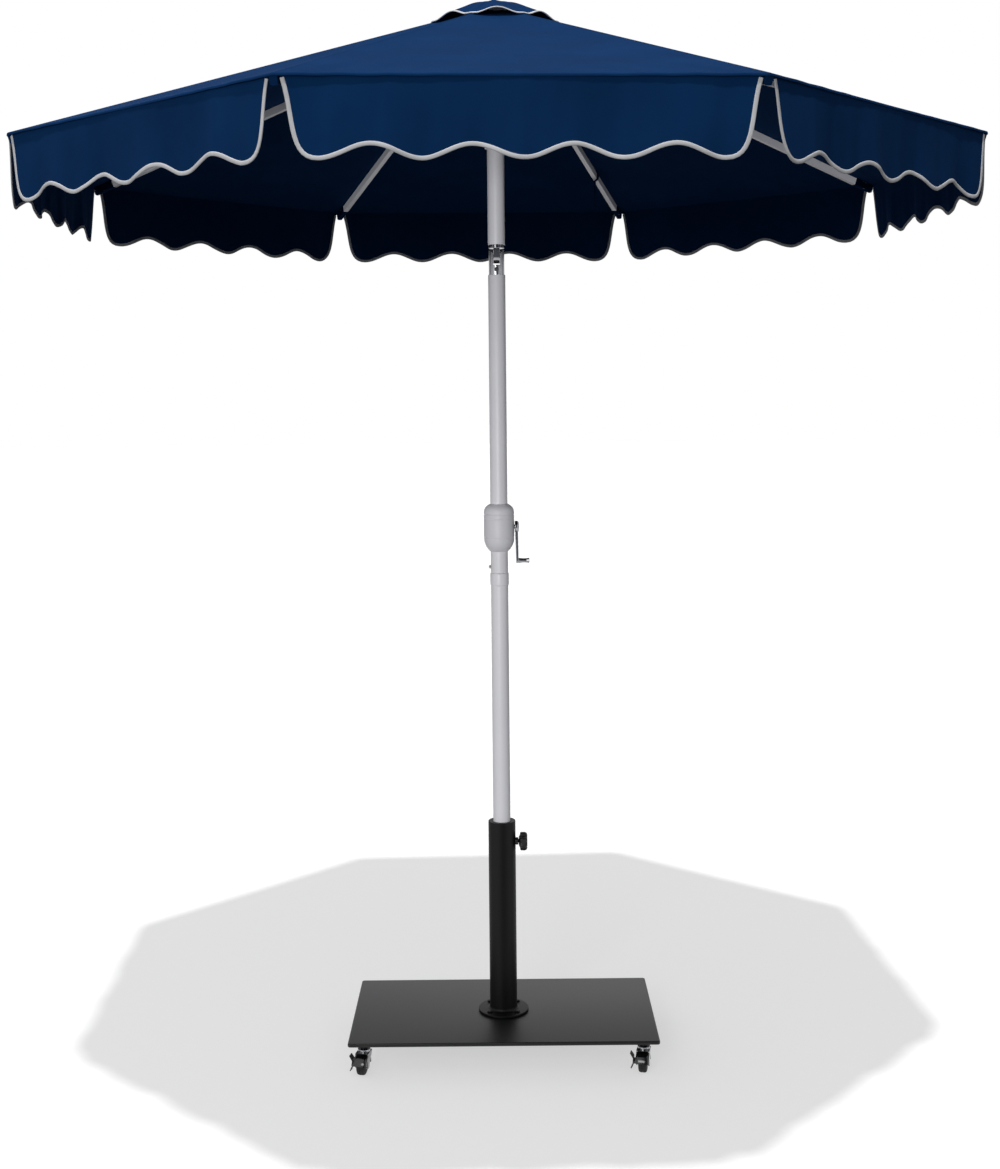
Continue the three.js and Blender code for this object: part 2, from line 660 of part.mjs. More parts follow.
function drumGeometry() {
  const bore = SHAFT + TOUCH;
  const inside = DRUM_HALF - DRUM_RIM;
  const rim = Math.sqrt((poleBore - DRUM_ROOM) ** 2 - DRUM_HALF ** 2);
  return turned(
    [
      [bore, -DRUM_HALF],
      [rim, -DRUM_HALF],
      [rim, -inside],
      [DRUM, -inside],
      [DRUM, inside],
      [rim, inside],
      [rim, DRUM_HALF],
      [bore, DRUM_HALF],
      [bore, -DRUM_HALF],
    ],
    16,
  ).rotateY(90 * DEG);
}

// ---------------------------------------------------------------- lower pole and snap button
const stubRadius = poleBore - RUNNING;

function lowerPoleGeometry() {
  const low = plateLevel + 2 * TOUCH;
  const collarLow = JOIN_LEVEL - COLLAR_HEIGHT;
  const stubBore = stubRadius - POLE_WALL;
  const tube = turned([
    [poleBore, low],
    [poleRadius, low],
    [poleRadius, collarLow - COLLAR_TAPER],
    [poleRadius + COLLAR_STEP, collarLow],
    [poleRadius + COLLAR_STEP, JOIN_LEVEL - COLLAR_CHAMFER],
    [poleRadius, JOIN_LEVEL],
    [stubRadius, JOIN_LEVEL],
    [stubRadius, JOIN_LEVEL + STUB_LENGTH],
    [stubBore, JOIN_LEVEL + STUB_LENGTH],
    [stubBore, JOIN_LEVEL - NECK_DOWN[0]],
    [poleBore, JOIN_LEVEL - NECK_DOWN[1]],
    [poleBore, low],
  ]);
  return cut(tube, barX(SNAP_BUTTON + RUNNING, -POLE, 0).translate(0, 0, SNAP_LEVEL));
}

function snapButtonGeometry() {
  const inside = Math.sqrt((stubRadius - POLE_WALL - RUNNING) ** 2 - SNAP_FLANGE ** 2);
  const front = poleRadius + SNAP_PROUD;
  return turned(
    [
      [0, inside - SNAP_FLANGE_THICKNESS],
      [SNAP_FLANGE, inside - SNAP_FLANGE_THICKNESS],
      [SNAP_FLANGE, inside],
      [SNAP_BUTTON, inside],
      [SNAP_BUTTON, front - 2],
      [SNAP_BUTTON * 0.7, front - 0.5],
      [0, front],
    ],
    16,
  ).rotateY(-90 * DEG);
}

// ---------------------------------------------------------------- base
const sleeveRadius = SLEEVE / 2;
const guideBore = poleRadius + RUNNING;
const bossEnd = sleeveRadius + KNOB_BOSS_LENGTH;
const knobStart = bossEnd + KNOB_GAP;

function plateGeometry() {
  const x = PLATE_WIDTH / 2 - PLATE_CORNER;
  const y = PLATE_DEPTH / 2 - PLATE_CORNER;
  const outline = new THREE.Shape();
  outline.absarc(x, y, PLATE_CORNER, 0, 90 * DEG);
  outline.absarc(-x, y, PLATE_CORNER, 90 * DEG, 180 * DEG);
  outline.absarc(-x, -y, PLATE_CORNER, 180 * DEG, 270 * DEG);
  outline.absarc(x, -y, PLATE_CORNER, 270 * DEG, 360 * DEG);
  const plate = new THREE.ExtrudeGeometry(outline, { depth: PLATE, bevelEnabled: false, curveSegments: 3 });
  const underside = plateLevel - PLATE;
  const bosses = casterPlaces.map(([px, py]) =>
    barZ(BOSS_RADIUS, underside - BOSS_HEIGHT, underside + PAST, 12).translate(px, py, 0),
  );
  const bores = casterPlaces.map(([px, py]) =>
    barZ(STEM + RUNNING, underside - BOSS_HEIGHT - PAST, underside, 12).translate(px, py, 0),
  );
  return cut(join(plate.translate(0, 0, underside), ...bosses), ...bores);
}

function sleeveGeometry() {
  const low = plateLevel + TOUCH;
  const bore = sleeveRadius - SLEEVE_WALL;
  const flangeTop = low + FLANGE_THICKNESS;
  const body = turned([
    [guideBore, low],
    [FLANGE / 2, low],
    [FLANGE / 2, flangeTop],
    [sleeveRadius, flangeTop],
    [sleeveRadius, SLEEVE_TOP],
    [guideBore, SLEEVE_TOP],
    [guideBore, SLEEVE_TOP - SLEEVE_GUIDE],
    [bore, SLEEVE_TOP - SLEEVE_GUIDE],
    [bore, flangeTop],
    [guideBore, flangeTop],
    [guideBore, low],
  ]);
  const bolts = Array.from({ length: BOLTS }, (_, i) =>
    barZ(BOLT_HEAD, flangeTop - PAST, flangeTop + BOLT_HEIGHT, 6)
      .translate((sleeveRadius + FLANGE / 2) / 2, 0, 0)
      .rotateZ(((i + 0.5) * 360 * DEG) / BOLTS),
  );
  const boss = barX(KNOB_BOSS, bore + PAST, bossEnd, 16).translate(0, 0, KNOB_LEVEL);
  const thread = barX(KNOB_SCREW + RUNNING, 0, bossEnd + PAST, 16).translate(0, 0, KNOB_LEVEL);
  return cut(join(body, ...bolts, boss), thread);
}

function knobGeometry() {
  const count = KNOB_LOBES * KNOB_LOBE_STEPS;
  const points = Array.from({ length: count }, (_, i) => {
    const turn = (i / count) * 2 * Math.PI;
    const r = KNOB_RADIUS + KNOB_LOBE * Math.cos(KNOB_LOBES * turn);
    return [r * Math.cos(turn), r * Math.sin(turn)];
  });
  const head = new THREE.ExtrudeGeometry(shapeOf(points), {
    depth: KNOB_DEPTH - 2 * KNOB_BEVEL,
    bevelEnabled: true,
    bevelThickness: KNOB_BEVEL,
    bevelSize: KNOB_BEVEL,
    bevelOffset: -KNOB_BEVEL,
    bevelSegments: 1,
  })
    .rotateY(90 * DEG)
    .translate(knobStart + KNOB_BEVEL, 0, 0);
  return join(head, barX(KNOB_SCREW, poleRadius + RUNNING, knobStart + PAST, 16));
}

// ---------------------------------------------------------------- casters
const casterX = PLATE_WIDTH / 2 - CASTER_SIDE;
const casterY = PLATE_DEPTH / 2 - CASTER_FRONT;
const casterPlaces = [
  [-casterX, -casterY],
  [casterX, -casterY],
  [casterX, casterY],
  [-casterX, casterY],
];
const BRAKED = [1, 2]; // the front casters have brakes
const cheekIn = WHEEL_WIDTH / 2 + WHEEL_HUB + CHEEK_ROOM;
const cheekOut = cheekIn + CHEEK;
const brakeOut = cheekOut + BRAKE_OUT;
const brakeLevel = WHEEL_FLAT + BRAKE_RISE;

// A caster's frame has its origin on the floor under the stem, and its wheel trails towards +X.
function forkGeometry(braked) {
  const outline = new THREE.Shape();
  outline.moveTo(-FORK_FRONT, crownLow + CROWN_PLATE);
  outline.lineTo(-FORK_FRONT, crownLow - FORK_BEND);
  outline.lineTo(TRAIL - FORK_EYE, WHEEL_FLAT);
  outline.absarc(TRAIL, WHEEL_FLAT, FORK_EYE, 180 * DEG, 360 * DEG);
  outline.lineTo(FORK_BACK + FORK_BEND, crownLow - FORK_BEND);
  outline.lineTo(FORK_BACK, crownLow + CROWN_PLATE);
  const cheeks = [-1, 1].map((side) =>
    slabY(outline, CHEEK).translate(0, side * (cheekIn + CHEEK / 2), 0),
  );
  const lugs = [-BRAKE_HALF - TOUCH - BRAKE_LUG, BRAKE_HALF + TOUCH].map((x) =>
    block(
      [TRAIL + x, -brakeOut - BRAKE_LUG, brakeLevel - BRAKE_LUG],
      [TRAIL + x + BRAKE_LUG, -cheekIn - PAST, brakeLevel + BRAKE_LUG],
    ),
  );
  const brakePin = barX(PIN, -BRAKE_HALF - PAST, BRAKE_HALF + PAST, 12)
    .translate(TRAIL, -brakeOut, brakeLevel);
  return join(
    barZ(STEM, raceTop - PAST, plateLevel - PLATE - STEM_ROOM, 12),
    barZ(RACE_RADIUS, crownLow + PAST, raceTop, 16),
    block([-FORK_FRONT, -cheekOut, crownLow], [FORK_BACK, cheekOut, crownLow + CROWN_PLATE]),
    ...cheeks,
    barY(AXLE, -cheekOut + PAST, cheekOut - PAST).translate(TRAIL, 0, WHEEL_FLAT),
    ...(braked ? [...lugs, brakePin] : []),
  );
}

function wheelGeometry() {
  const radius = WHEEL_FLAT / Math.cos((180 / WHEEL_SIDES) * DEG);
  const half = WHEEL_WIDTH / 2;
  const bore = AXLE + RUNNING;
  const wheel = turned(
    [
      [bore, -half - WHEEL_HUB],
      [HUB_RADIUS, -half - WHEEL_HUB],
      [HUB_RADIUS, -half],
      [radius - WHEEL_EDGE, -half],
      [radius, -half + WHEEL_EDGE],
      [radius, half - WHEEL_EDGE],
      [radius - WHEEL_EDGE, half],
      [HUB_RADIUS, half],
      [HUB_RADIUS, half + WHEEL_HUB],
      [bore, half + WHEEL_HUB],
      [bore, -half - WHEEL_HUB],
    ],
    WHEEL_SIDES,
    (180 / WHEEL_SIDES) * DEG,
  );
  return wheel.rotateX(90 * DEG).translate(TRAIL, 0, WHEEL_FLAT);
}

// A side brake: a lever on a barrel, with a tab that splays out above and another below.
function pedalGeometry() {
  const profile = shapeOf([
    [-1, -6],
    [-6, -15],
    [-7.6, -14],
    [-3, -5],
    [-2.4, 7],
    [-8.5, 17],
    [-7, 18.4],
    [-0.6, 10],
    [-0.6, 2],
  ]);
  const lever = new THREE.ExtrudeGeometry(profile, { depth: 2 * BRAKE_HALF, bevelEnabled: false })
    .rotateX(90 * DEG)
    .rotateZ(90 * DEG)
    .translate(-BRAKE_HALF, 0, 0);
  const body = join(lever, barX(BRAKE_BARREL, -BRAKE_HALF, BRAKE_HALF, 12));
  return cut(body, barX(PIN + TOUCH, -BRAKE_HALF - PAST, BRAKE_HALF + PAST, 12))
    .translate(TRAIL, -brakeOut, brakeLevel);
}

// ---------------------------------------------------------------- assembly
const ribShape = ribGeometry();
const strutShape = strutGeometry();
const panelShape = panelGeometry();
const flapShape = flapGeometry();

const spokes = numbers.flatMap((number) => {
  const turn = cornerTurn(number);
  const rib = placed(named(`rib_${number}`, ribShape, whitePaint), {
    position: [hingeRadius, 0, hingeLevel],
    y: RIB_SLOPE,
  });
  const strut = placed(named(`strut_${number}`, strutShape, whitePaint), {
    position: [hingeRadius, 0, runnerLevel],
    y: -strutSlope,
  });
  const panel = named(`canopy_panel_${number}`, panelShape, navyCloth);
  const flap = named(`valance_${number}`, flapShape, navyCloth);
  return [
    placed(group(rib, strut), { z: turn }),
    placed(group(panel, flap), { z: turn + halfSide }),
  ];
});

const head = group(
  placed(named('crown_hub', crownGeometry(), greyCasting), { position: [0, 0, hingeLevel] }),
  named('finial', finialGeometry(), greyCasting),
  placed(named('vent_cap', capGeometry(), navyCloth), { z: CANOPY_TURN }),
  named('upper_pole', upperPoleGeometry(), whitePaint),
  placed(named('runner', runnerGeometry(), greyCasting), { position: [0, 0, runnerLevel] }),
  ...spokes,
);

const tilt = placed(
  group(
    named('tilt_upper', tiltUpperGeometry(), brightSteel),
    named('tilt_lower', tiltLowerGeometry(), brightSteel),
    named('tilt_button', tiltButtonGeometry(), brightSteel),
  ),
  { position: [0, 0, TILT_LEVEL] },
);

const crank = placed(
  group(
    named('crank_housing', housingGeometry(), whitePaint),
    named('crank_arm', crankGeometry(), brightSteel),
    named('crank_grip', gripGeometry(), brightSteel),
    named('winding_drum', drumGeometry(), blackPlastic),
  ),
  { position: [0, 0, CRANK_LEVEL] },
);

const pole = group(
  named('middle_pole', middlePoleGeometry(), whitePaint),
  named('lower_pole', lowerPoleGeometry(), whitePaint),
  placed(named('snap_button', snapButtonGeometry(), brightSteel), { position: [0, 0, SNAP_LEVEL] }),
);

const casters = casterPlaces.map(([x, y], i) => {
  const number = i + 1;
  const braked = BRAKED.includes(number);
  const pieces = [
    named(`caster_fork_${number}`, forkGeometry(braked), brightSteel),
    named(`caster_wheel_${number}`, wheelGeometry(), blackRubber),
  ];
  if (braked) pieces.push(named(`brake_pedal_${number}`, pedalGeometry(), blackPlastic));
  return placed(group(...pieces), { position: [x, y, 0], z: -90 + CASTER_TURN });
});

const base = group(
  named('base_plate', plateGeometry(), blackPaint),
  named('base_sleeve', sleeveGeometry(), blackPaint),
  placed(named('clamp_knob', knobGeometry(), blackPlastic), { position: [0, 0, KNOB_LEVEL] }),
  ...casters,
);

const umbrella = group(head, tilt, crank, pole, base);

export default umbrella;
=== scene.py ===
# %% [markdown]
# # A patio umbrella in a wheeled base
#
# The metal parts of this umbrella come finished from a CAD model, which also says how each part moves.
# What is made here is what the eye sees: sewn cloth, powder-coated tube, chrome, black steel and rubber.
# Every new piece is placed where its CAD part is, and all but the vent cap's slopes and their binding ride
# on the same body, so that the umbrella still folds, tilts and rolls.

import json
import math

import bmesh
import bpy
import numpy as np
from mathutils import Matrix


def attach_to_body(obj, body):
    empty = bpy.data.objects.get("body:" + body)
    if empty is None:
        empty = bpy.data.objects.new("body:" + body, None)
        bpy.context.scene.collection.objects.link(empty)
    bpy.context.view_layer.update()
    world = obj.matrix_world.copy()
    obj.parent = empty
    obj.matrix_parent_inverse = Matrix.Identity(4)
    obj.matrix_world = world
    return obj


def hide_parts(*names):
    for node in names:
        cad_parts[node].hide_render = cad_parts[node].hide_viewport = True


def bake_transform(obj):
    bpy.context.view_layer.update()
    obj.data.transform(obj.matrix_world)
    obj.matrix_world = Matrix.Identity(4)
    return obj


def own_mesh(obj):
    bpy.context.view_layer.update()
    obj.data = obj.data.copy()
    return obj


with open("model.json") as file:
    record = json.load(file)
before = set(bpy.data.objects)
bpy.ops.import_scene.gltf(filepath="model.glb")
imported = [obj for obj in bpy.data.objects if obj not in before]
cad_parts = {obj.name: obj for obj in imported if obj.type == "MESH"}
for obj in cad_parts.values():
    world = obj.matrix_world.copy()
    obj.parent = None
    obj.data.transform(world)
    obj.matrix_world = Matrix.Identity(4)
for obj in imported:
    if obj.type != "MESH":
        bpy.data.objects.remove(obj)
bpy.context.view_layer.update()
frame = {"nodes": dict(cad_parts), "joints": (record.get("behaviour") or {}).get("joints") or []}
joints = {joint["name"]: joint for joint in frame["joints"]}

# %% [markdown]
# ## The viewpoint
#
# A product shot of something this tall is taken from chest height with a level camera, and the lens is
# shifted down to take in the feet. Tilting the camera instead would make the pole converge. The camera
# leans by half a degree, as a hand-set tripod does.

# %% Camera
SENSOR = 36.0
LENS = 47.62
LENS_SHIFT = -0.1643  # share of the long side: the level camera looks at the upper third of the umbrella
CAMERA_LEAN = 0.55
CAMERA_PLACE = (0.0049, -3.422, 1.4347)

camera_data = bpy.data.cameras.new("product_camera")
camera_data.sensor_width = SENSOR
camera_data.lens = LENS
camera_data.shift_y = LENS_SHIFT
camera = bpy.data.objects.new("product_camera", camera_data)
camera.location = CAMERA_PLACE
camera.rotation_euler = (math.radians(90), math.radians(CAMERA_LEAN), 0)
bpy.context.scene.collection.objects.link(camera)
bpy.context.scene.camera = camera
bpy.context.scene.view_settings.view_transform = "Standard"
print("camera at", [round(x, 2) for x in camera.location])

# %% [markdown]
# ## Colours and nodes
#
# Colours are written as the hex values that a screen shows, and a shader wants them linear, so one
# function turns them. One more function adds a node: its settings and what feeds its sockets are both
# given in one call, which keeps each material readable from top to bottom.


# %% Helpers for materials
def linear(hex_colour):
    """A screen colour as linear RGBA: the sRGB curve undone channel by channel."""
    srgb = np.array([int(hex_colour[i : i + 2], 16) / 255 for i in (1, 3, 5)])
    rgb = np.where(srgb <= 0.04045, srgb / 12.92, ((srgb + 0.055) / 1.055) ** 2.4)
    return (*rgb.tolist(), 1.0)


def add(tree, kind, feeds=None, **settings):
    """Adds a node with these properties. Feeds are the values of its sockets, or what is linked to them."""
    node = tree.nodes.new("ShaderNode" + kind)
    for key, value in settings.items():
        setattr(node, key, value)
    for key, value in (feeds or {}).items():
        if isinstance(value, bpy.types.NodeSocket):
            tree.links.new(value, node.inputs[key])
        else:
            node.inputs[key].default_value = value
    return node


def calc(tree, operation, *values):
    """The output of a Math node that works on these values or sockets."""
    return add(tree, "Math", dict(enumerate(values)), operation=operation).outputs[0]


def finish_of(name, colour, **sockets):
    """A material with a Principled shader. Underscores in the sockets' names stand for spaces."""
    material = bpy.data.materials.new(name)
    material.use_nodes = True
    tree = material.node_tree
    shader = tree.nodes["Principled BSDF"]
    shader.inputs["Base Color"].default_value = linear(colour)
    for key, value in sockets.items():
        shader.inputs[key.replace("_", " ")].default_value = value
    return material, tree, shader


def ramp(tree, source, stops):
    """A colour ramp through (place, hex colour) stops."""
    node = add(tree, "ValToRGB", {"Fac": source})
    elements = node.color_ramp.elements
    elements.remove(elements[1])
    for number, (place, colour) in enumerate(stops):
        element = elements[0] if number == 0 else elements.new(place)
        element.position = place
        element.color = linear(colour)
    return node


MILLI = 0.001  # the sizes below are in millimetres and become metres by this

# %% [markdown]
# ## Solution-dyed polyester canvas
#
# Garden umbrellas are covered in plain-woven polyester, coloured before it is spun. It has a dry, dull
# surface with almost no gloss, soft drape marks a hand wide, and a weave of about half a millimetre. The
# weave follows each panel, so it reads the panel's own UV map, which is in metres. Threads this fine
# would not show at all, so they are drawn at 1.2 mm. The two rows of stitches run beside every seam,
# 4 mm from the rib.

# %% Canopy cloth
THREAD = 1.2 * MILLI
STITCH_FROM_SEAM = 4.0 * MILLI
STITCH_HALF = 0.5 * MILLI
STITCH_LENGTH = 3.2 * MILLI
OFF_SEAM = 2.0  # moves a piece's map this far sideways, where no stitches are drawn

canvas, tree, shader = finish_of(
    "navy_polyester_canvas",
    "#0b305b",
    Roughness=1.0,
    Specular_IOR_Level=0.05,
)
panel_map = add(tree, "UVMap", uv_map="panel")
along = add(tree, "SeparateXYZ", {"Vector": panel_map.outputs["UV"]})
warp_angle = calc(tree, "MULTIPLY", along.outputs["X"], 2 * math.pi / THREAD)
weft_angle = calc(tree, "MULTIPLY", along.outputs["Y"], 2 * math.pi / THREAD)
warp = calc(tree, "SINE", warp_angle)
weft = calc(tree, "SINE", weft_angle)
weave = calc(tree, "MULTIPLY", warp, weft)
from_seam = calc(tree, "ABSOLUTE", along.outputs["X"])
row_side = calc(tree, "COMPARE", from_seam, STITCH_FROM_SEAM, STITCH_HALF)
run = calc(tree, "DIVIDE", along.outputs["Y"], STITCH_LENGTH)
part_of_run = calc(tree, "FRACT", run)
on_run = calc(tree, "GREATER_THAN", part_of_run, 0.3)
stitch = calc(tree, "MULTIPLY", row_side, on_run)
slub = add(tree, "TexNoise", {"Vector": panel_map.outputs["UV"], "Scale": 260.0, "Detail": 2.0})
drape = add(tree, "TexNoise", {"Vector": panel_map.outputs["UV"], "Scale": 5.0, "Detail": 3.0})
height = calc(tree, "MULTIPLY_ADD", weave, 0.35, slub.outputs["Fac"])
relief = add(tree, "Bump", {"Height": height, "Strength": 0.22, "Distance": 0.35 * MILLI})
creases = add(
    tree,
    "Bump",
    {"Height": drape.outputs["Fac"], "Strength": 0.35, "Distance": 6 * MILLI, "Normal": relief.outputs[0]},
)
tone = ramp(tree, drape.outputs["Fac"], [(0.3, "#0a2d56"), (0.5, "#0b305b"), (0.72, "#0d3461")])
sewn = add(
    tree,
    "Mix",
    {0: stitch, 6: tone.outputs["Color"], 7: linear("#08264b")},
    data_type="RGBA",
)
tree.links.new(sewn.outputs[2], shader.inputs["Base Color"])
tree.links.new(creases.outputs[0], shader.inputs["Normal"])
print("material:", canvas.name)

# %% [markdown]
# ## Woven binding tape
#
# The cloth's cut edges are bound in bright white polyester tape, folded over and stitched. It is a ribbed
# ribbon, so it has fine ridges across it and is a little glossier than the canvas.

# %% Binding tape
TAPE_RIB = 1.4 * MILLI

tape, tree, shader = finish_of(
    "white_woven_binding", "#d8d9dc", Roughness=0.8, Specular_IOR_Level=0.15
)
tape_map = add(tree, "UVMap", uv_map="panel")
along = add(tree, "SeparateXYZ", {"Vector": tape_map.outputs["UV"]})
rib_angle = calc(tree, "MULTIPLY", along.outputs["X"], 2 * math.pi / TAPE_RIB)
rib_wave = calc(tree, "SINE", rib_angle)
relief = add(tree, "Bump", {"Height": rib_wave, "Strength": 0.3, "Distance": 0.2 * MILLI})
grime = add(tree, "TexNoise", {"Vector": tape_map.outputs["UV"], "Scale": 22.0, "Detail": 4.0})
tone = ramp(tree, grime.outputs["Fac"], [(0.25, "#cdced2"), (0.6, "#dadbde")])
tree.links.new(tone.outputs["Color"], shader.inputs["Base Color"])
tree.links.new(relief.outputs[0], shader.inputs["Normal"])
print("material:", tape.name)

# %% [markdown]
# ## Paints
#
# Powder coat is sprayed on as dry powder and melted in an oven. It flows out almost smooth but keeps a
# fine orange peel, with bumps of 1 to 2 mm, which breaks up its highlights. The same recipe gives the
# light grey pole, the black base and the forks, which differ in gloss: the forks are dipped in enamel and
# shine.


# %% Painted metals
def painted(name, low, high, peel, depth, **sockets):
    """Paint whose tone wanders between two colours, with an orange peel of that spacing and depth in mm."""
    material, tree, shader = finish_of(name, low, **sockets)
    place = add(tree, "TexCoord")
    bumps = add(
        tree,
        "TexNoise",
        {"Vector": place.outputs["Object"], "Scale": 1 / (peel * MILLI), "Detail": 1.0},
    )
    relief = add(tree, "Bump", {"Height": bumps.outputs["Fac"], "Strength": 0.5, "Distance": depth * MILLI})
    cloud = add(tree, "TexNoise", {"Vector": place.outputs["Object"], "Scale": 9.0, "Detail": 4.0})
    tone = ramp(tree, cloud.outputs["Fac"], [(0.3, low), (0.7, high)])
    tree.links.new(tone.outputs["Color"], shader.inputs["Base Color"])
    tree.links.new(relief.outputs[0], shader.inputs["Normal"])
    return material


pole_coat = painted("light_grey_powder_coat", "#e6e6ec", "#ebebf0", 1.6, 0.08, Roughness=0.4)
black_coat = painted("black_powder_coat", "#0b0b0c", "#0e0e0f", 1.8, 0.12, Roughness=0.4)
upright_coat = painted(
    "black_powder_coat_upright", "#0a0a0b", "#0c0c0d", 1.8, 0.12, Roughness=0.45, Specular_IOR_Level=0.22
)
enamel = painted(
    "gloss_black_enamel", "#0a0a0b", "#0d0d0e", 4.0, 0.04, Roughness=0.16, Coat_Weight=0.5
)
print("materials:", pole_coat.name, black_coat.name, enamel.name)

# %% [markdown]
# ## Moulded plastics and rubber
#
# The crank housing and the hubs are injection-moulded nylon with a spark-eroded grain: tiny pits, finer
# than orange peel, and a soft satin. The black knob and pedals are the same. The tyres are a dull, hard
# rubber.

# %% Plastics and rubber
light_nylon = painted("light_grey_moulded_nylon", "#dbdbe1", "#e0e0e6", 0.7, 0.06, Roughness=0.46)
black_nylon = painted("black_moulded_nylon", "#0e0e0f", "#131314", 0.7, 0.08, Roughness=0.4)
tyre = painted("black_tyre_rubber", "#161617", "#202021", 1.1, 0.16, Roughness=0.75)
print("materials:", light_nylon.name, black_nylon.name, tyre.name)

# %% [markdown]
# ## Chrome and zinc
#
# The tilt joint, the crank and the caster forks' bearing rings are chromed: a mirror with hair-fine
# polishing marks round the tube. The pedals' springs are only zinc-plated, which is bluish, duller and
# clouded by its crystals.


# %% Plated metals
def plated(name, low, high, rough, marks, strength):
    """A plated metal, clouded between two colours. Marks are its scratches per metre on each axis."""
    material, tree, shader = finish_of(name, low, Metallic=1.0, Roughness=rough)
    place = add(tree, "TexCoord")
    stretch = add(tree, "Mapping", {"Vector": place.outputs["Object"], "Scale": marks})
    scratches = add(tree, "TexNoise", {"Vector": stretch.outputs["Vector"], "Scale": 1.0, "Detail": 3.0})
    relief = add(
        tree,
        "Bump",
        {"Height": scratches.outputs["Fac"], "Strength": strength, "Distance": 0.05 * MILLI},
    )
    cloud = add(tree, "TexNoise", {"Vector": place.outputs["Object"], "Scale": 120.0, "Detail": 3.0})
    tone = ramp(tree, cloud.outputs["Fac"], [(0.35, low), (0.65, high)])
    tree.links.new(tone.outputs["Color"], shader.inputs["Base Color"])
    tree.links.new(relief.outputs[0], shader.inputs["Normal"])
    return material


chrome = plated("polished_chrome", "#a6a7ab", "#b3b4b8", 0.12, (60.0, 60.0, 2600.0), 0.35)
zinc = plated("bright_zinc_plate", "#aab4bd", "#bcc6cf", 0.34, (500.0, 500.0, 500.0), 0.5)
print("materials:", chrome.name, zinc.name)

# %% [markdown]
# ## From arrays to meshes
#
# Every new surface is worked out with numpy as a grid of points, and a few helpers turn grids into closed
# meshes. A thin sheet is two grids, one skin over the other, closed round the rim. A turned piece is a
# profile carried round an axis. A bound edge or a bar is a section carried along a path.


# %% Mesh helpers
def grid_faces(rows, cols, wrap_rows=False, wrap_cols=False):
    """Quads of a grid of points numbered row by row. A wrapped direction joins its last line to its first."""
    i = np.arange(rows if wrap_rows else rows - 1)[:, None]
    j = np.arange(cols if wrap_cols else cols - 1)[None, :]
    i2 = (i + 1) % rows
    j2 = (j + 1) % cols
    corners = np.broadcast_arrays(i * cols + j, i * cols + j2, i2 * cols + j2, i2 * cols + j)
    return np.stack(corners, axis=-1).reshape(-1, 4)


def make(name, points, faces, material, uv=None, crease=35, smooth=True):
    """A mesh object. Doubles are merged, its faces are turned outwards, and edges past the crease stay sharp.
    uv holds one pair for each point."""
    mesh = bpy.data.meshes.new(name)
    mesh.from_pydata(points.tolist(), [], faces.tolist() if isinstance(faces, np.ndarray) else faces)
    if uv is not None:
        corner = np.empty(len(mesh.loops), dtype=np.int32)
        mesh.loops.foreach_get("vertex_index", corner)
        layer = mesh.uv_layers.new(name="panel")
        layer.data.foreach_set("uv", uv[corner].astype(np.float32).ravel())
    work = bmesh.new()
    work.from_mesh(mesh)
    bmesh.ops.remove_doubles(work, verts=work.verts, dist=1e-6)
    if work.calc_volume(signed=True) < 0:
        bmesh.ops.reverse_faces(work, faces=work.faces)
    work.to_mesh(mesh)
    work.free()
    if smooth:
        mesh.shade_smooth()
        mesh.set_sharp_from_angle(angle=math.radians(crease))
    mesh.materials.append(material)
    piece = bpy.data.objects.new(name, mesh)
    bpy.context.scene.collection.objects.link(piece)
    return piece


def attach(piece, body, finish, *nodes):
    """The piece rides on a body and stands for those CAD nodes, which are hidden. The finish is not used."""
    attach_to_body(piece, body)
    if nodes:
        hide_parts(*nodes)
    return piece


def shell(outer, inner):
    """Points and faces of a thin sheet: two grids of one shape and a strip that joins their rims."""
    rows, cols = outer.shape[:2]
    count = rows * cols
    index = np.arange(count).reshape(rows, cols)
    rim = np.concatenate([index[0], index[1:, -1], index[-1, -2::-1], index[-2:0:-1, 0]])
    after = np.roll(rim, -1)
    strip = np.stack([after, rim, rim + count, after + count], axis=-1)
    skin = grid_faces(rows, cols)
    points = np.concatenate([outer.reshape(-1, 3), inner.reshape(-1, 3)])
    return points, np.concatenate([skin, skin[:, ::-1] + count, strip])


def cloth(name, outer, inner, uv):
    """A sheet of canvas between two skins, which share one map."""
    return make(name, *shell(outer, inner), canvas, np.concatenate([uv.reshape(-1, 2)] * 2), crease=70)


def unit(vectors):
    """Vectors brought to length 1."""
    return vectors / np.linalg.norm(vectors, axis=-1, keepdims=True)


def offset(grid, distance):
    """The grid moved along its own normal, which is the cross product of its two directions."""
    normal = np.cross(np.gradient(grid, axis=0), np.gradient(grid, axis=1))
    normal /= np.maximum(np.linalg.norm(normal, axis=-1, keepdims=True), 1e-12)
    return grid + distance * normal


def rounded(profile, radius, closed=False, steps=4):
    """A profile whose corners are cut back and replaced by a parabola from side to side."""
    points = np.asarray(profile, float)
    before = np.roll(points, 1, axis=0) - points
    after = np.roll(points, -1, axis=0) - points
    reach_before = np.linalg.norm(before, axis=1, keepdims=True)
    reach_after = np.linalg.norm(after, axis=1, keepdims=True)
    cut = np.minimum(radius, 0.45 * np.minimum(reach_before, reach_after))
    start = points + before / np.maximum(reach_before, 1e-9) * cut
    end = points + after / np.maximum(reach_after, 1e-9) * cut
    t = np.linspace(0, 1, steps + 1)[None, :, None]
    curve = (1 - t) ** 2 * start[:, None] + 2 * t * (1 - t) * points[:, None] + t**2 * end[:, None]
    if closed:
        return curve.reshape(-1, 2)
    return np.concatenate([points[:1], curve[1:-1].reshape(-1, 2), points[-1:]])


AXES = {"x": (1, 2, 0), "y": (2, 0, 1), "z": (0, 1, 2)}  # places of the two round directions and the axis


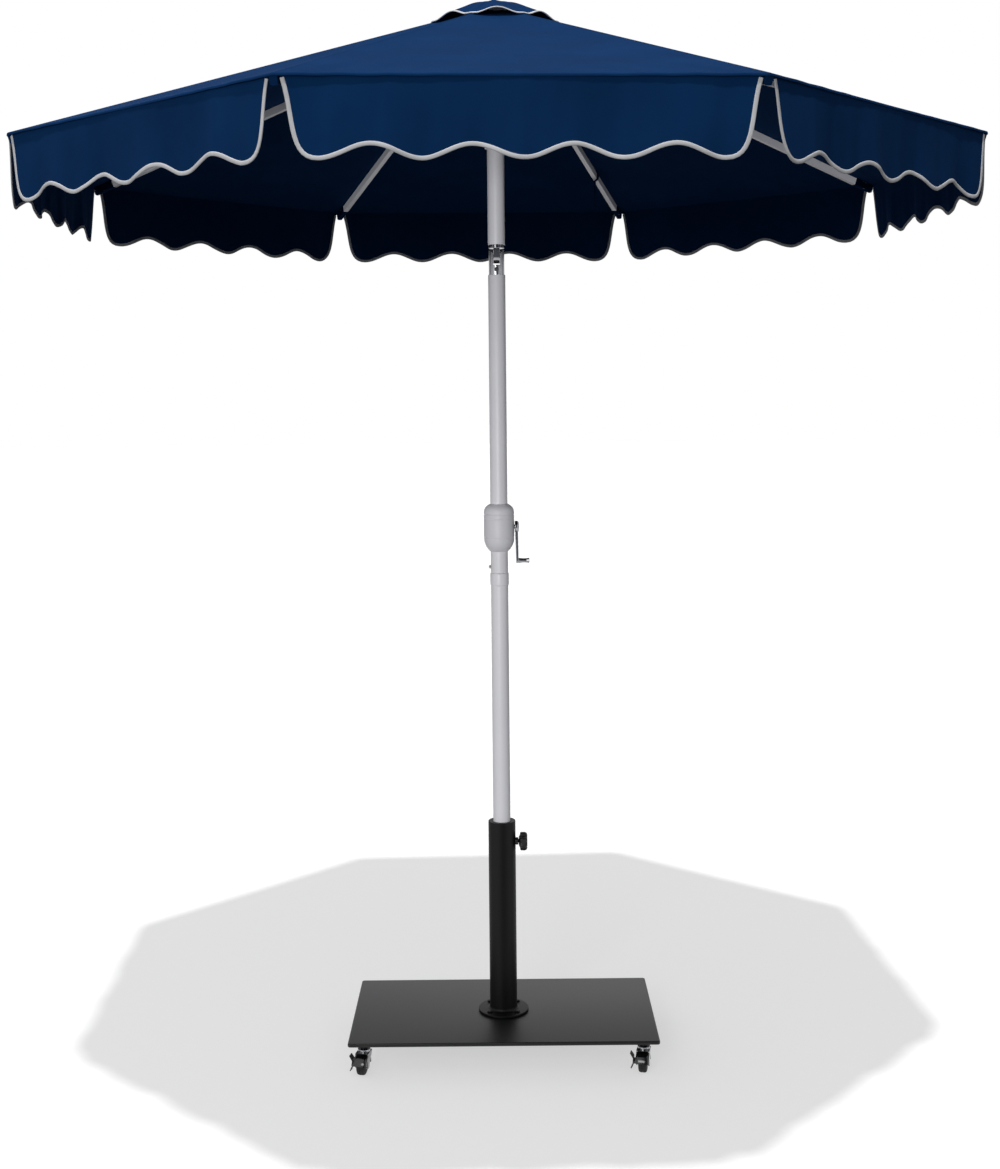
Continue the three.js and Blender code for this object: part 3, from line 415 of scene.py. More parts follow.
def lathe(profile, centre=(0, 0, 0), axis="z", segments=64, closed=False, radius_of=None):
    """A (radius, height) profile turned about an axis: (r cos a, r sin a, h). radius_of varies r with a."""
    profile = np.asarray(profile, float)
    angle = np.linspace(0, 2 * np.pi, segments, endpoint=False)
    r = np.repeat(profile[:, :1], segments, axis=1)
    if radius_of is not None:
        r = radius_of(r, angle)
    turned = np.stack([r * np.cos(angle), r * np.sin(angle), np.repeat(profile[:, 1:], segments, axis=1)])
    a, b, c = AXES[axis]
    points = np.empty((len(profile), segments, 3))
    points[..., a] = turned[0]
    points[..., b] = turned[1]
    points[..., c] = turned[2]
    points = points.reshape(-1, 3) + np.asarray(centre, float)
    return points, grid_faces(len(profile), segments, wrap_rows=closed, wrap_cols=True)


def oval(width, thickness, power=3.0, count=16):
    """The section of a flattened tube: a superellipse, |x/a|^p + |y/b|^p = 1."""
    angle = np.linspace(0, 2 * np.pi, count, endpoint=False)
    c, s = np.cos(angle), np.sin(angle)
    x = width / 2 * np.sign(c) * np.abs(c) ** (2 / power)
    y = thickness / 2 * np.sign(s) * np.abs(s) ** (2 / power)
    return np.stack([x, y], axis=1)


def sweep(path, side, up, section):
    """A section carried along a path: each point is path + x side + y up. The ends close on their centres."""
    rings = path[:, None] + section[None, :, :1] * side[:, None] + section[None, :, 1:] * up[:, None]
    ends = np.repeat(path[[0, -1]][:, None], len(section), axis=1)
    rings = np.concatenate([ends[:1], rings, ends[1:]])
    length = np.linalg.norm(np.diff(path, axis=0, prepend=path[:1]), axis=1).cumsum()
    length = np.concatenate([length[:1], length, length[-1:]])
    around = np.linspace(0, 1, len(section), endpoint=False)
    uv = np.stack(np.broadcast_arrays(length[:, None], around[None, :] * 0.02), axis=-1)
    points = rings.reshape(-1, 3)
    return points, grid_faces(len(rings), len(section), wrap_cols=True), uv.reshape(-1, 2)


def slab(outline, low, high, edge, axis="z", steps=3):
    """A flat bar: an outline carried from low to high on the axis, with its edges rounded inwards."""
    outline = np.asarray(outline, float)
    ahead = np.roll(outline, -1, axis=0) - np.roll(outline, 1, axis=0)
    normal = unit(np.stack([ahead[:, 1], -ahead[:, 0]], axis=1))
    turn = np.linspace(0, np.pi / 2, steps + 1)
    inset = edge * np.concatenate([1 - np.sin(turn), 1 - np.cos(turn)])
    level = np.concatenate([low + edge * (1 - np.cos(turn)), high - edge * (1 - np.sin(turn))])
    flat = outline[None] - inset[:, None, None] * normal[None]
    a, b, c = AXES[axis]
    points = np.empty((len(inset), len(outline), 3))
    points[..., a] = flat[..., 0]
    points[..., b] = flat[..., 1]
    points[..., c] = level[:, None]
    count = len(outline)
    faces = grid_faces(len(inset), count, wrap_cols=True).tolist()
    faces.append(list(range(count))[::-1])
    faces.append([len(inset) * count - count + i for i in range(count)])
    return points.reshape(-1, 3), faces


def gather(*parts):
    """Several (points, faces) as one."""
    points = np.concatenate([part[0] for part in parts])
    faces = []
    start = 0
    for part in parts:
        faces += [[start + int(i) for i in face] for face in part[1]]
        start += len(part[0])
    return points, faces


def refined(node, width, material, crease=35, segments=2):
    """A CAD part with broken edges: triangles are merged, flat faces joined, and a Bevel rounds the edges."""
    source = frame["nodes"][node]
    mesh = source.data.copy()
    mesh.name = node + "_finished"
    work = bmesh.new()
    work.from_mesh(mesh)
    bmesh.ops.remove_doubles(work, verts=work.verts, dist=1e-5)
    bmesh.ops.dissolve_limit(work, angle_limit=math.radians(1), verts=work.verts, edges=work.edges)
    work.to_mesh(mesh)
    work.free()
    mesh.materials.clear()
    mesh.materials.append(material)
    mesh.shade_smooth()
    if "custom_normal" in mesh.attributes:
        mesh.attributes.remove(mesh.attributes["custom_normal"])
    mesh.set_sharp_from_angle(angle=math.radians(crease))
    piece = bpy.data.objects.new(node + "_finished", mesh)
    bpy.context.scene.collection.objects.link(piece)
    bevel = piece.modifiers.new("broken_edges", "BEVEL")
    bevel.width = width * MILLI
    bevel.segments = segments
    bevel.limit_method = "ANGLE"
    bevel.angle_limit = math.radians(crease)
    bevel.harden_normals = True
    bevel.use_clamp_overlap = True
    return piece


print("mesh helpers ready")

# %% [markdown]
# ## The canopy's cloth
#
# An umbrella is sewn from eight triangular gores, each stretched between two ribs. Folding it gathers the
# cloth at each rib, so the cloth is cut here the other way: into eight pieces that are each centred on a
# rib and meet in the middle of a gore, where neither rib has more hold on it. Between two ribs the tight
# cloth hangs in a shallow trough. At the rim it turns over a hem and points straight down.
#
# On each piece, one direction of the grid is the distance from the pole and the other goes across the
# rib.

# %% Sizes of the canopy
SIDES = 8
HALF_SIDE = math.pi / SIDES
SIN, COS = math.sin(HALF_SIDE), math.cos(HALF_SIDE)
RADIUS = 1.040
RIM = 1.943
PITCH = math.radians(18.35)
SLOPE = math.tan(PITCH)
VENT = 0.072
CLOTH = 1.0 * MILLI
HEM_TURN = 4.0 * MILLI  # radius of the cloth where it turns down at the rim
HEM_LIP = 1.6 * MILLI
TROUGH = 11.0 * MILLI
SEAM_RISE = 0.8 * MILLI
SEAM_WIDTH = 3.5 * MILLI

rib_turn = {}
for k in range(1, SIDES + 1):
    x, y, z = joints[f"rib_{k}_fold"]["pos_m"]
    rib_turn[k] = math.atan2(y, x)


def place(local, k):
    """Points given as (out along rib k, across it, up) in the model's own axes: a turn about the pole."""
    c, s = math.cos(rib_turn[k]), math.sin(rib_turn[k])
    x, y, z = local[..., 0], local[..., 1], local[..., 2]
    return np.stack([c * x - s * y, s * x + c * y, z], axis=-1)


def across(k):
    """The direction across rib k."""
    return (-math.sin(rib_turn[k]), math.cos(rib_turn[k]), 0.0)


print("rib 1 stands at", round(math.degrees(rib_turn[1]), 1), "degrees")


# %% Eight pieces of canopy cloth
def soft_abs(v, blunt):
    """|v| with a rounded tip: (sqrt(v^2 + b^2) - b) / (sqrt(1 + b^2) - b), which is still 1 at 1."""
    return (np.sqrt(v**2 + blunt**2) - blunt) / (math.sqrt(1 + blunt**2) - blunt)


def gore(k, half=22, rows=44):
    """The cloth's upper skin round rib k. With q from 0 at the rib to 1 at the gore's middle and r from the
    pole: x = r (1 - q sin^2), y = r q sin cos, z = rim + slope (R - r) - trough (2q - q^2) sin(pi u^0.8)."""
    q = np.linspace(-1, 1, 2 * half + 1)
    v = np.sign(q) * q**2
    facet = math.atan(SLOPE / COS)
    start = RADIUS - HEM_TURN * (1 - math.sin(facet)) / COS
    u = np.linspace(0, 1, rows)
    r = VENT + (start - VENT) * u
    level = RIM + SLOPE * (RADIUS - r)
    turn = np.linspace(facet, math.pi / 2, 7)[1:]
    r_hem = start + HEM_TURN * (np.sin(turn) - math.sin(facet)) / COS
    level_hem = level[-1] - HEM_TURN * (math.cos(facet) - np.cos(turn))
    r = np.concatenate([r, r_hem, r_hem[-1:]])
    level = np.concatenate([level, level_hem, level_hem[-1:] - HEM_LIP])
    u = np.concatenate([u, np.ones(7)])
    r, u, level = r[:, None], u[:, None], level[:, None]
    x = r * (1 - soft_abs(v, 0.02) * SIN**2)
    y = r * v * SIN * COS
    hang = np.abs(v)
    sag = TROUGH * np.sin(np.pi * u**0.8) * (2 * hang - hang**2)
    seam = SEAM_RISE * np.exp(-((y / SEAM_WIDTH) ** 2))
    pull = np.exp(-(((u - 0.93) / 0.07) ** 2)) * hang * (1 - hang) ** 2
    crinkle = 9.0 * MILLI * pull * np.sin(2 * np.pi * (5.0 * hang + 2.5 * u + 0.37 * k * np.sign(v)))
    swell = 2.5 * MILLI * np.sin(np.pi * u) * hang * (1 - hang)
    swell = swell * np.sin(2 * np.pi * (1.3 * u + 0.29 * k) + 3.0 * v)
    local = np.stack([x, y, level - sag + seam + crinkle + swell], axis=-1)
    uv = np.stack(np.broadcast_arrays(y, r * math.hypot(1, SLOPE)), axis=-1)
    return local, uv


gores = {}
for k in rib_turn:
    local, uv = gore(k)
    outer = place(local, k)
    gores[k] = cloth(f"canopy_gore_{k}", outer, offset(outer, -CLOTH), uv)
    attach(gores[k], f"rib_{k}", "canopy_cloth", f"canopy_panel_{k}")
    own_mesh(gores[k])
print("canopy:", len(gores), "pieces of", len(gores[1].data.polygons), "faces")

# %% [markdown]
# ## The valance
#
# Below the rim hangs a valance of eight flaps, each with five shallow scallops and sides that curve in,
# bound all round in white tape. The flaps are open at the corners. A flap hangs from two ribs, so it is
# made as two halves that meet in its middle, and each half goes with its own rib when the umbrella
# closes. The cloth hangs straight at the seam and ripples a little towards its hem, so the ripple grows
# with the drop.

# %% Sizes of the valance
FLAP_HALF = 0.387
LOBES = 5
LAST_LOBE = 0.326
CREST, DROP = 0.113, 0.136
SIDE_SWEEP, SIDE_HEEL = 0.022, 0.008
FLAP_CLOTH = 1.0 * MILLI
FLAP_BEHIND = 1.2 * MILLI  # the flap hangs this far behind the hem
TAPE_WIDTH, TAPE_THICKNESS = 7.5 * MILLI, 2.8 * MILLI


# %% Sixteen half flaps and their binding
def flap_outline(edge_steps=14, lobe_steps=26):
    """The lower edge from a flap's side to its middle: a Bezier curve down the side, then a cosine of
    (LOBES - 1) waves between the outer lobes. Columns are (distance from the flap's middle, drop)."""
    t = np.linspace(0.035, 1, edge_steps)
    ends = np.array(
        [
            [-FLAP_HALF, 0],
            [-FLAP_HALF + SIDE_SWEEP, 0.55 * CREST],
            [-FLAP_HALF + SIDE_HEEL, DROP],
            [-LAST_LOBE, DROP],
        ]
    )
    weights = np.stack([(1 - t) ** 3, 3 * t * (1 - t) ** 2, 3 * t**2 * (1 - t), t**3], axis=1)
    side = weights @ ends
    pitch = 2 * LAST_LOBE / (LOBES - 1)
    x = np.linspace(-LAST_LOBE, 0, 2 * lobe_steps + 1)[1:]
    drop = (CREST + DROP) / 2 + (DROP - CREST) / 2 * np.cos(2 * np.pi * (x + LAST_LOBE) / pitch)
    return np.concatenate([side, np.stack([x, drop], axis=1)])


def ripple(x, drop, flap):
    """How far the cloth stands out of its plane: nothing at the seam, two waves that grow with the drop, and
    small puckers from the seam's stitching."""
    grow = (drop / DROP) ** 1.3
    wide = np.sin(2 * np.pi * x / 0.235 + 1.7 * flap)
    fine = np.sin(2 * np.pi * x / 0.098 + 2.9 * flap)
    pucker = np.sin(2 * np.pi * x / 0.043 + 1.1 * flap + 9.0 * drop)
    return MILLI * (grow * (1.5 + 4.6 * wide + 2.2 * fine) + 0.5 * np.sqrt(drop / DROP) * pucker)


def on_flap(x, drop, out, side):
    """A point of a flap in its rib's frame: along the rim from the corner, down, and out of the flap's plane.
    side is 1 for the half that starts at this rib, and -1 for the half that ends there."""
    from_corner = RADIUS * SIN + x
    rim_point = np.array([RADIUS, 0.0]) + from_corner[..., None] * np.array([-SIN, side * COS])
    point = rim_point + out[..., None] * np.array([COS, side * SIN])
    return np.concatenate([point, (RIM - HEM_LIP / 2 - drop)[..., None]], axis=-1)


def half_flap(k, side, rows=15):
    """Outer and inner skin of half a flap, and the path of its binding. Every column hangs from the seam to
    the outline. Flap k goes from rib k to the next one, so rib k also holds the far half of flap k - 1."""
    flap = k if side > 0 else (k - 2) % SIDES + 1
    outline = flap_outline()
    x = np.repeat(outline[:, :1], rows, axis=1)
    drop = outline[:, 1:] * np.linspace(0, 1, rows)
    own_x = side * x
    out = ripple(own_x, drop, flap) - FLAP_BEHIND
    outer = place(on_flap(x, drop, out, side), k)
    inner = place(on_flap(x, drop, out - FLAP_CLOTH, side), k)
    uv = np.stack([own_x + OFF_SEAM, drop], axis=-1)
    inset = 0.3 * TAPE_WIDTH
    ahead = unit(np.gradient(outline, axis=0))
    inward = np.stack([ahead[:, 1], -ahead[:, 0]], axis=1)
    path = outline + inset * inward
    path[-1, 0] = 0
    out_path = ripple(side * path[:, 0], path[:, 1], flap) - FLAP_BEHIND - FLAP_CLOTH / 2
    centre = place(on_flap(path[:, 0], path[:, 1], out_path, side), k)
    outward = place(np.array([COS, side * SIN, 0.0]), k)
    tangent = unit(np.gradient(centre, axis=0))
    up = np.repeat(outward[None], len(centre), axis=0)
    return outer, inner, uv, centre, np.cross(tangent, up), up


for k in rib_turn:
    for side, label in ((1, "a"), (-1, "b")):
        outer, inner, uv, centre, aside, up = half_flap(k, side)
        flap = cloth(f"valance_{k}{label}", outer, inner, uv)
        attach(flap, f"valance_{k}", "canopy_cloth", f"valance_{k if side > 0 else (k - 2) % SIDES + 1}")
        section = oval(TAPE_WIDTH, TAPE_THICKNESS)
        points, faces, uv = sweep(centre, aside, up, section)
        edge = make(f"valance_binding_{k}{label}", points, faces, tape, uv, crease=60)
        attach(edge, f"valance_{k}", "binding_tape")
        corner = place(np.array([RADIUS, 0.0, RIM]), k)
        for piece in (flap, edge):
            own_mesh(piece)
print("valance: 16 half flaps, bound in tape")

# %% [markdown]
# ## The vent cap
#
# Wind that gets under the canopy leaves through a hole at the top, and a small hood keeps the rain out of
# it. The hood is a shallow cone of eight slopes under a small button, with its edge arched up between the
# ribs and bound in tape. The corners are sewn to the ribs.

# %% Hood over the vent
CAP_TOP = 2.3010
CAP_FLAT = 0.067  # corner distance of the fold where the hood turns steeper
CAP_FALL = 0.235  # its slope inside that fold
CAP_CORNER, CAP_CORNER_LEVEL = 0.150, 2.2408
CAP_STEEP = (CAP_TOP - CAP_FALL * CAP_CORNER - CAP_CORNER_LEVEL) / (CAP_CORNER - CAP_FLAT)
CAP_ARCH = 13.0 * MILLI  # how far the middle of an edge stands up over its corners
CAP_EDGE_HALF = CAP_CORNER * SIN
CAP_ARCH_HALF = 0.045
CAP_SPLIT = 0.012
CAP_CLOTH = 0.9 * MILLI
CAP_TAPE = oval(6.5 * MILLI, 2.6 * MILLI)


def cap_level(r):
    """Height of the hood at corner distance r: a shallow cone with a blunt top, z = top - f sqrt(r^2 + b^2),
    that turns steeper past the fold by a soft ramp, s w ln(1 + e^((r - fold) / w))."""
    blunt, width = 0.006, 0.006
    ramp_down = CAP_STEEP * width * np.logaddexp(0, (r - CAP_FLAT) / width)
    return CAP_TOP - CAP_FALL * np.sqrt(r**2 + blunt**2) - ramp_down


def cap_slope(half=20, rows=26):
    """The hood round one rib, from the button to its edge. Towards the middle of the edge the cloth stands up
    in an arch, (1/2 + 1/2 cos(pi c / half))^0.8, that dies away up the slope as the 1.7th power of the way."""
    v = np.linspace(-1, 1, 2 * half + 1)
    from_middle = (1 - np.abs(v)) * CAP_EDGE_HALF
    arch = (0.5 + 0.5 * np.cos(np.pi * np.clip(from_middle / CAP_ARCH_HALF, 0, 1))) ** 0.8
    share = np.linspace(0, 1, rows)[:, None]
    r = CAP_SPLIT + (CAP_CORNER - CAP_SPLIT) * share
    x = r * (1 - soft_abs(v, 0.12) * SIN**2)
    y = r * v * SIN * COS
    local = np.stack([x, y, cap_level(r) + CAP_ARCH * arch * share**1.7], axis=-1)
    return local, np.stack([y, np.broadcast_to(r, y.shape)], axis=-1)


button = [
    [0, CAP_TOP - 0.0020], [0.0165, CAP_TOP - 0.0046], [0.0168, CAP_TOP - 0.0030],
    [0.0140, CAP_TOP - 0.0014], [0.0085, CAP_TOP + 0.0004], [0.0050, CAP_TOP + 0.0026],
    [0.0020, CAP_TOP + 0.0033], [0, CAP_TOP + 0.0034],
]
points, faces = lathe(rounded(button, 1.5 * MILLI), segments=48)
uv = np.stack([points[:, 0] + OFF_SEAM, points[:, 1]], axis=1)
cap_middle = make("vent_cap_button", points, faces, canvas, uv, crease=60)
attach(cap_middle, "upper", "canopy_cloth", "vent_cap", "finial")
for k in rib_turn:
    local, uv = cap_slope()
    outer = place(local, k)
    hood = cloth(f"vent_cap_slope_{k}", outer, offset(outer, -CAP_CLOTH), uv)
    centre = outer[-1] + (outer[-2] - outer[-1]) * 0.5
    tangent = unit(np.gradient(centre, axis=0))
    up = unit(np.cross(tangent, outer[-2] - outer[-1]))
    points, faces, uv = sweep(centre, np.cross(tangent, up), up, CAP_TAPE)
    edge = make(f"vent_cap_binding_{k}", points, faces, tape, uv, crease=60)
    for piece, finish in ((hood, "canopy_cloth"), (edge, "binding_tape")):
        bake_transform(piece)
print("vent cap: a button and eight slopes")

# %% [markdown]
# ## Ribs, struts, crown and runner
#
# These parts have their real shape already: steel tube, flat tongues, brackets and slotted hubs. Real
# edges are never razor sharp, so each is copied with its triangles merged and its edges rounded, which
# gives every edge a thin highlight.

# %% Folding frame
for k in rib_turn:
    attach(refined(f"rib_{k}", 1.6, pole_coat), f"rib_{k}", "white_paint", f"rib_{k}")
    attach(refined(f"strut_{k}", 1.0, pole_coat), f"strut_{k}", "white_paint", f"strut_{k}")
attach(refined("crown_hub", 0.8, light_nylon), "upper", "light_plastic", "crown_hub")
attach(refined("runner", 0.8, light_nylon), "runner", "light_plastic", "runner")
print("folding frame: 8 ribs, 8 struts, crown, runner")

# %% [markdown]
# ## Pockets at the rib tips, and the tie
#
# Each rib ends in a pocket of doubled canvas sewn under the corner, which is what pulls the cloth tight.
# On one rib a strap hangs in a loop, to tie the umbrella up once it is closed.

# %% Rib pockets and tie strap
RIB_HALF_HEIGHT = 8.0 * MILLI
CLOTH_OVER_RIB = 2.9 * MILLI
RIB_TOP_DROP = RIB_HALF_HEIGHT / math.cos(PITCH) + CLOTH_OVER_RIB  # cloth's top to a rib's centre line
rib_up = np.array([math.sin(PITCH), 0, math.cos(PITCH)])


def rib_point(r, rise=0.0):
    """A point of a rib's centre line at distance r from the pole, moved up at right angles to the rib."""
    return np.array([r, 0, RIM + SLOPE * (RADIUS - r) - RIB_TOP_DROP]) + rise * rib_up


for k in rib_turn:
    path = np.stack([rib_point(r) for r in np.linspace(0.985, 1.036, 9)])
    swell = 1 + 0.05 * np.sin(np.linspace(0, 3 * np.pi, 9))
    section = oval(14.6 * MILLI, 18.4 * MILLI, power=4.5, count=24)
    side = np.repeat([[0.0, 1.0, 0.0]], 9, axis=0) * swell[:, None]
    up = np.repeat(rib_up[None], 9, axis=0)
    points, faces, uv = sweep(place(path, k), place(side, k), place(up, k), section)
    pocket = make(f"rib_pocket_{k}", points, faces, canvas, uv + [OFF_SEAM, 0], crease=60)
    attach(pocket, f"rib_{k}", "canopy_cloth")

STRAP_RIB, STRAP_PLACE = 5, 0.787
strap_section = oval(18.0 * MILLI, 1.4 * MILLI, count=12)
turn = np.linspace(0, 2 * np.pi, 49)
loop_x, loop_z = STRAP_PLACE + 0.004 * np.sin(turn), -0.001 - 0.0135 * np.cos(turn)
loop = np.stack([loop_x, 0.0105 * np.sin(turn), loop_z], axis=1)
hang = np.linspace(0, 1, 20)
tail = np.stack([STRAP_PLACE + 0.002 * np.sin(7 * hang), 0.0 * hang, -0.0145 - 0.07 * hang], axis=1)
for name, path in (("tie_strap_loop", loop), ("tie_strap_tail", tail)):
    base = rib_point(STRAP_PLACE)
    level = path + [0, 0, base[2]]
    tangent = unit(np.gradient(level, axis=0))
    wide = np.repeat([[1.0, 0.0, 0.0]], len(level), axis=0)
    thin = np.cross(tangent, wide)
    turned = [place(row, STRAP_RIB) for row in (level, wide, thin)]
    points, faces, uv = sweep(*turned, strap_section)
    strap = make(name, points, faces, canvas, uv + [OFF_SEAM, 0], crease=60)
    attach(strap, f"rib_{STRAP_RIB}", "canopy_cloth")
print("pockets: 8, and a tie strap on rib", STRAP_RIB)

# %% [markdown]
# ## The pole
#
# Three lengths of 38 mm steel tube make the pole. They are turned surfaces: a wall profile carried round
# the axis. The lower tube is swaged: its top is widened to a collar for the middle tube to stand on, and
# narrows to a stub inside it. Where a button or a shaft passes the wall, a hole is cut with a Boolean,
# applied at once.


# %% Tubes
def drill(piece, radius, start, end, level, axis="x"):
    """Cuts a round hole through a piece at a height, from start to end along the axis."""
    points, faces = lathe([[0, start], [radius, start], [radius, end], [0, end]], (0, 0, level), axis, 32)
    cutter = make("cutter", points, faces, piece.data.materials[0])
    cut = piece.modifiers.new("hole", "BOOLEAN")
    cut.object = cutter
    cut.solver = "EXACT"
    bpy.context.view_layer.update()
    done = bpy.data.meshes.new_from_object(piece.evaluated_get(bpy.context.evaluated_depsgraph_get()))
    piece.modifiers.clear()
    piece.data = done
    done.shade_smooth()
    done.set_sharp_from_angle(angle=math.radians(35))
    bpy.data.objects.remove(cutter)
    return piece


def tube(name, outer, wall, low, high, body, *nodes):
    """A straight tube with slightly rounded ends."""
    profile = [[outer - wall, low], [outer, low], [outer, high], [outer - wall, high]]
    points, faces = lathe(rounded(profile, 0.5 * MILLI, closed=True), closed=True, segments=72)
    return attach(make(name, points, faces, pole_coat), body, "white_paint", *nodes)


POLE, WALL = 19.0 * MILLI, 1.5 * MILLI
SNAP_LEVEL, CRANK_LEVEL = 1.049, 1.1376
BUTTON_HOLE, SHAFT_HOLE = 4.1 * MILLI, 5.0 * MILLI
tube("upper_pole_tube", POLE, WALL, 1.761, 2.2707, "upper", "upper_pole")
middle = tube("middle_pole_tube", POLE, WALL, 1.0366, 1.6945, "pole", "middle_pole")
drill(middle, BUTTON_HOLE, -0.03, 0, SNAP_LEVEL)
drill(middle, SHAFT_HOLE, 0, 0.03, CRANK_LEVEL)
STUB = 17.1 * MILLI
lower_profile = [
    [POLE - WALL, 0.0706], [POLE, 0.0706], [POLE, 1.0076], [POLE + 1.5 * MILLI, 1.0106],
    [POLE + 1.5 * MILLI, 1.0343], [POLE, 1.0363], [STUB, 1.0363], [STUB, 1.0813],
    [STUB - WALL, 1.0813], [STUB - WALL, 1.0283], [POLE - WALL, 1.0223],
]
points, faces = lathe(rounded(lower_profile, 1.2 * MILLI, closed=True), closed=True, segments=72)
lower = attach(make("lower_pole_tube", points, faces, pole_coat), "pole", "white_paint", "lower_pole")
drill(lower, BUTTON_HOLE, -0.03, 0, SNAP_LEVEL)
print("pole: three tubes")

# %% [markdown]
# ## Tilt joint, snap button and crank
#
# The tilt joint's two halves keep their CAD shape, with polished edges. The housing is a turned nylon
# barrel with rounded shoulders and two narrow bands. The crank is chromed: a turned hub, a forged arm
# that narrows towards the grip, and a waisted grip that spins on its pin.

# %% Tilt joint and snap button
for node, body in (("tilt_upper", "upper"), ("tilt_lower", "pole"), ("tilt_button", "tilt_button")):
    attach(refined(node, 0.5, chrome), body, "polished_steel", node)

dome = [
    [0, 0.0112], [0.0050, 0.0112], [0.0050, 0.0128], [0.0037, 0.0128], [0.0037, 0.0212],
    [0.0031, 0.0228], [0.0019, 0.0236], [0, 0.0238],
]
dome = np.array(dome) * [1, -1]
points, faces = lathe(rounded(dome, 0.6 * MILLI), (0, 0, SNAP_LEVEL), "x", 40)
attach(make("snap_button_dome", points, faces, chrome), "snap_button", "polished_steel", "snap_button")

# %% Crank housing
BARREL = 33.4 * MILLI
low, high = -53.9 * MILLI, 50.8 * MILLI
bore, neck, cavity = 19.3 * MILLI, 20.2 * MILLI, 27.0 * MILLI
HOUSING_SHOULDER = 21.0 * MILLI
BAND_WIDTH, BAND_FLANK = 2.3 * MILLI, 0.5 * MILLI
rise = np.linspace(0, 1, 10)
top_r = neck + (BARREL - neck) * (1 - (1 - rise) ** 3)
foot = [[19.9, 0], [24.6, 5.0], [29.3, 12.0], [32.4, 20.5]]
bands = []
for groove, depth in ((-24.0, 0.5), (17.0, 0.6), (26.6, 0.8)):
    start, deep = groove * MILLI, BARREL - depth * MILLI
    bands += [[BARREL, start], [deep, start + BAND_FLANK]]
    bands += [[deep, start + BAND_WIDTH - BAND_FLANK], [BARREL, start + BAND_WIDTH]]
barrel = np.concatenate(
    [
        [[bore, low]],
        np.array(foot) * MILLI + [0, low],
        [[BARREL, low + 0.0285]],
        bands,
        np.stack([top_r, high - HOUSING_SHOULDER * rise], axis=1)[::-1],
        [[bore, high], [bore, high - 0.022], [cavity, high - 0.030]],
        [[cavity, low + 0.030], [bore, low + 0.022]],
    ]
)
barrel = rounded(barrel, 0.5 * MILLI, closed=True, steps=2)
points, faces = lathe(barrel, (0, 0, CRANK_LEVEL), closed=True, segments=80)
housing = make("crank_housing_barrel", points, faces, light_nylon, crease=40)
attach(housing, "pole", "light_plastic", "crank_housing")
drill(housing, SHAFT_HOLE, 0.01, 0.06, CRANK_LEVEL)
print("housing:", len(housing.data.polygons), "faces")

# %% Crank
hub = [[0, -0.010], [0.0046, -0.010], [0.0046, 0.0346], [0.0118, 0.0346], [0.013, 0.0362], [0.013, 0.0404]]
hub += [[0.0105, 0.0434], [0.006, 0.0441], [0, 0.0443]]
parts = [lathe(rounded(hub, 0.8 * MILLI), (0, 0, CRANK_LEVEL), "x", 56)]
swing = np.linspace(0, np.pi, 15)
wide, narrow, reach = 8.4 * MILLI, 5.6 * MILLI, 75.0 * MILLI
arm = np.concatenate(
    [
        np.stack([wide * np.cos(swing), wide * np.sin(swing)], axis=1),
        np.stack([-narrow * np.cos(swing), -reach - narrow * np.sin(swing)], axis=1),
    ]
)
arm[:, 1] += CRANK_LEVEL
forged, faces = slab(arm, 0.0371, 0.0419, 1.4 * MILLI, axis="x")
towards_hub = np.clip(1 - (CRANK_LEVEL - forged[:, 2]) / reach, 0, 1)
forged[:, 0] += np.where(forged[:, 0] < 0.0395, -1.9 * MILLI * towards_hub, 0.8 * MILLI * (1 - towards_hub))
parts.append((forged, faces))
pin = [[0, 0.0405], [0.0021, 0.0405], [0.0021, 0.0658], [0.0012, 0.066], [0, 0.066]]
parts.append(lathe(pin, (0, 0, CRANK_LEVEL - reach), "x", 24))
points, faces = gather(*parts)
attach(make("crank_handle", points, faces, chrome, crease=40), "crank", "polished_steel", "crank_arm")

grip_x = 0.0424 + np.linspace(0, 0.024, 25)
share = np.linspace(-1, 1, 25)
grip_r = MILLI * (4.75 + 1.15 * share**2)
lip = np.array([[0.0026, grip_x[0]], [grip_r[0] - 0.0008, grip_x[0]]])
tip = np.array([[grip_r[-1] - 0.0012, grip_x[-1]], [0.0026, grip_x[-1]]])
profile = np.concatenate([lip, np.stack([grip_r, grip_x], axis=1)[1:-1], tip])
points, faces = lathe(profile, (0, 0, CRANK_LEVEL - reach), "x", 40, closed=True)
attach(make("crank_grip_sleeve", points, faces, chrome), "crank_grip", "polished_steel", "crank_grip")
drum = frame["nodes"]["winding_drum"]
drum.data.materials[0] = black_nylon
print("crank: handle, grip and drum")

# %% [markdown]
# ## The base
#
# The sleeve is welded to a round flange, and four bolts hold that to an 8 mm plate, all powder-coated
# black. The sleeve is a turned surface, with a small fillet of weld at its foot. The plate is a rounded
# outline carried up through its thickness, with every edge rounded by the coat.

# %% Sleeve, flange and bolts
SLEEVE = 30.0 * MILLI
KNOB_LEVEL = 0.442
sleeve_profile = [
    [0.0194, 0.0703], [0.055, 0.0703], [0.055, 0.0753], [0.0345, 0.0753], [0.0312, 0.0768],
    [SLEEVE, 0.0802], [SLEEVE, 0.488], [0.0194, 0.488], [0.0194, 0.468], [0.027, 0.468],
    [0.027, 0.0753], [0.0194, 0.0753],
]
points, faces = lathe(rounded(sleeve_profile, 1.3 * MILLI, closed=True), closed=True, segments=80)
sleeve = make("base_sleeve_tube", points, faces, upright_coat)
attach(sleeve, "base", "black_paint", "base_sleeve")
drill(sleeve, 4.4 * MILLI, 0.01, 0.05, KNOB_LEVEL)

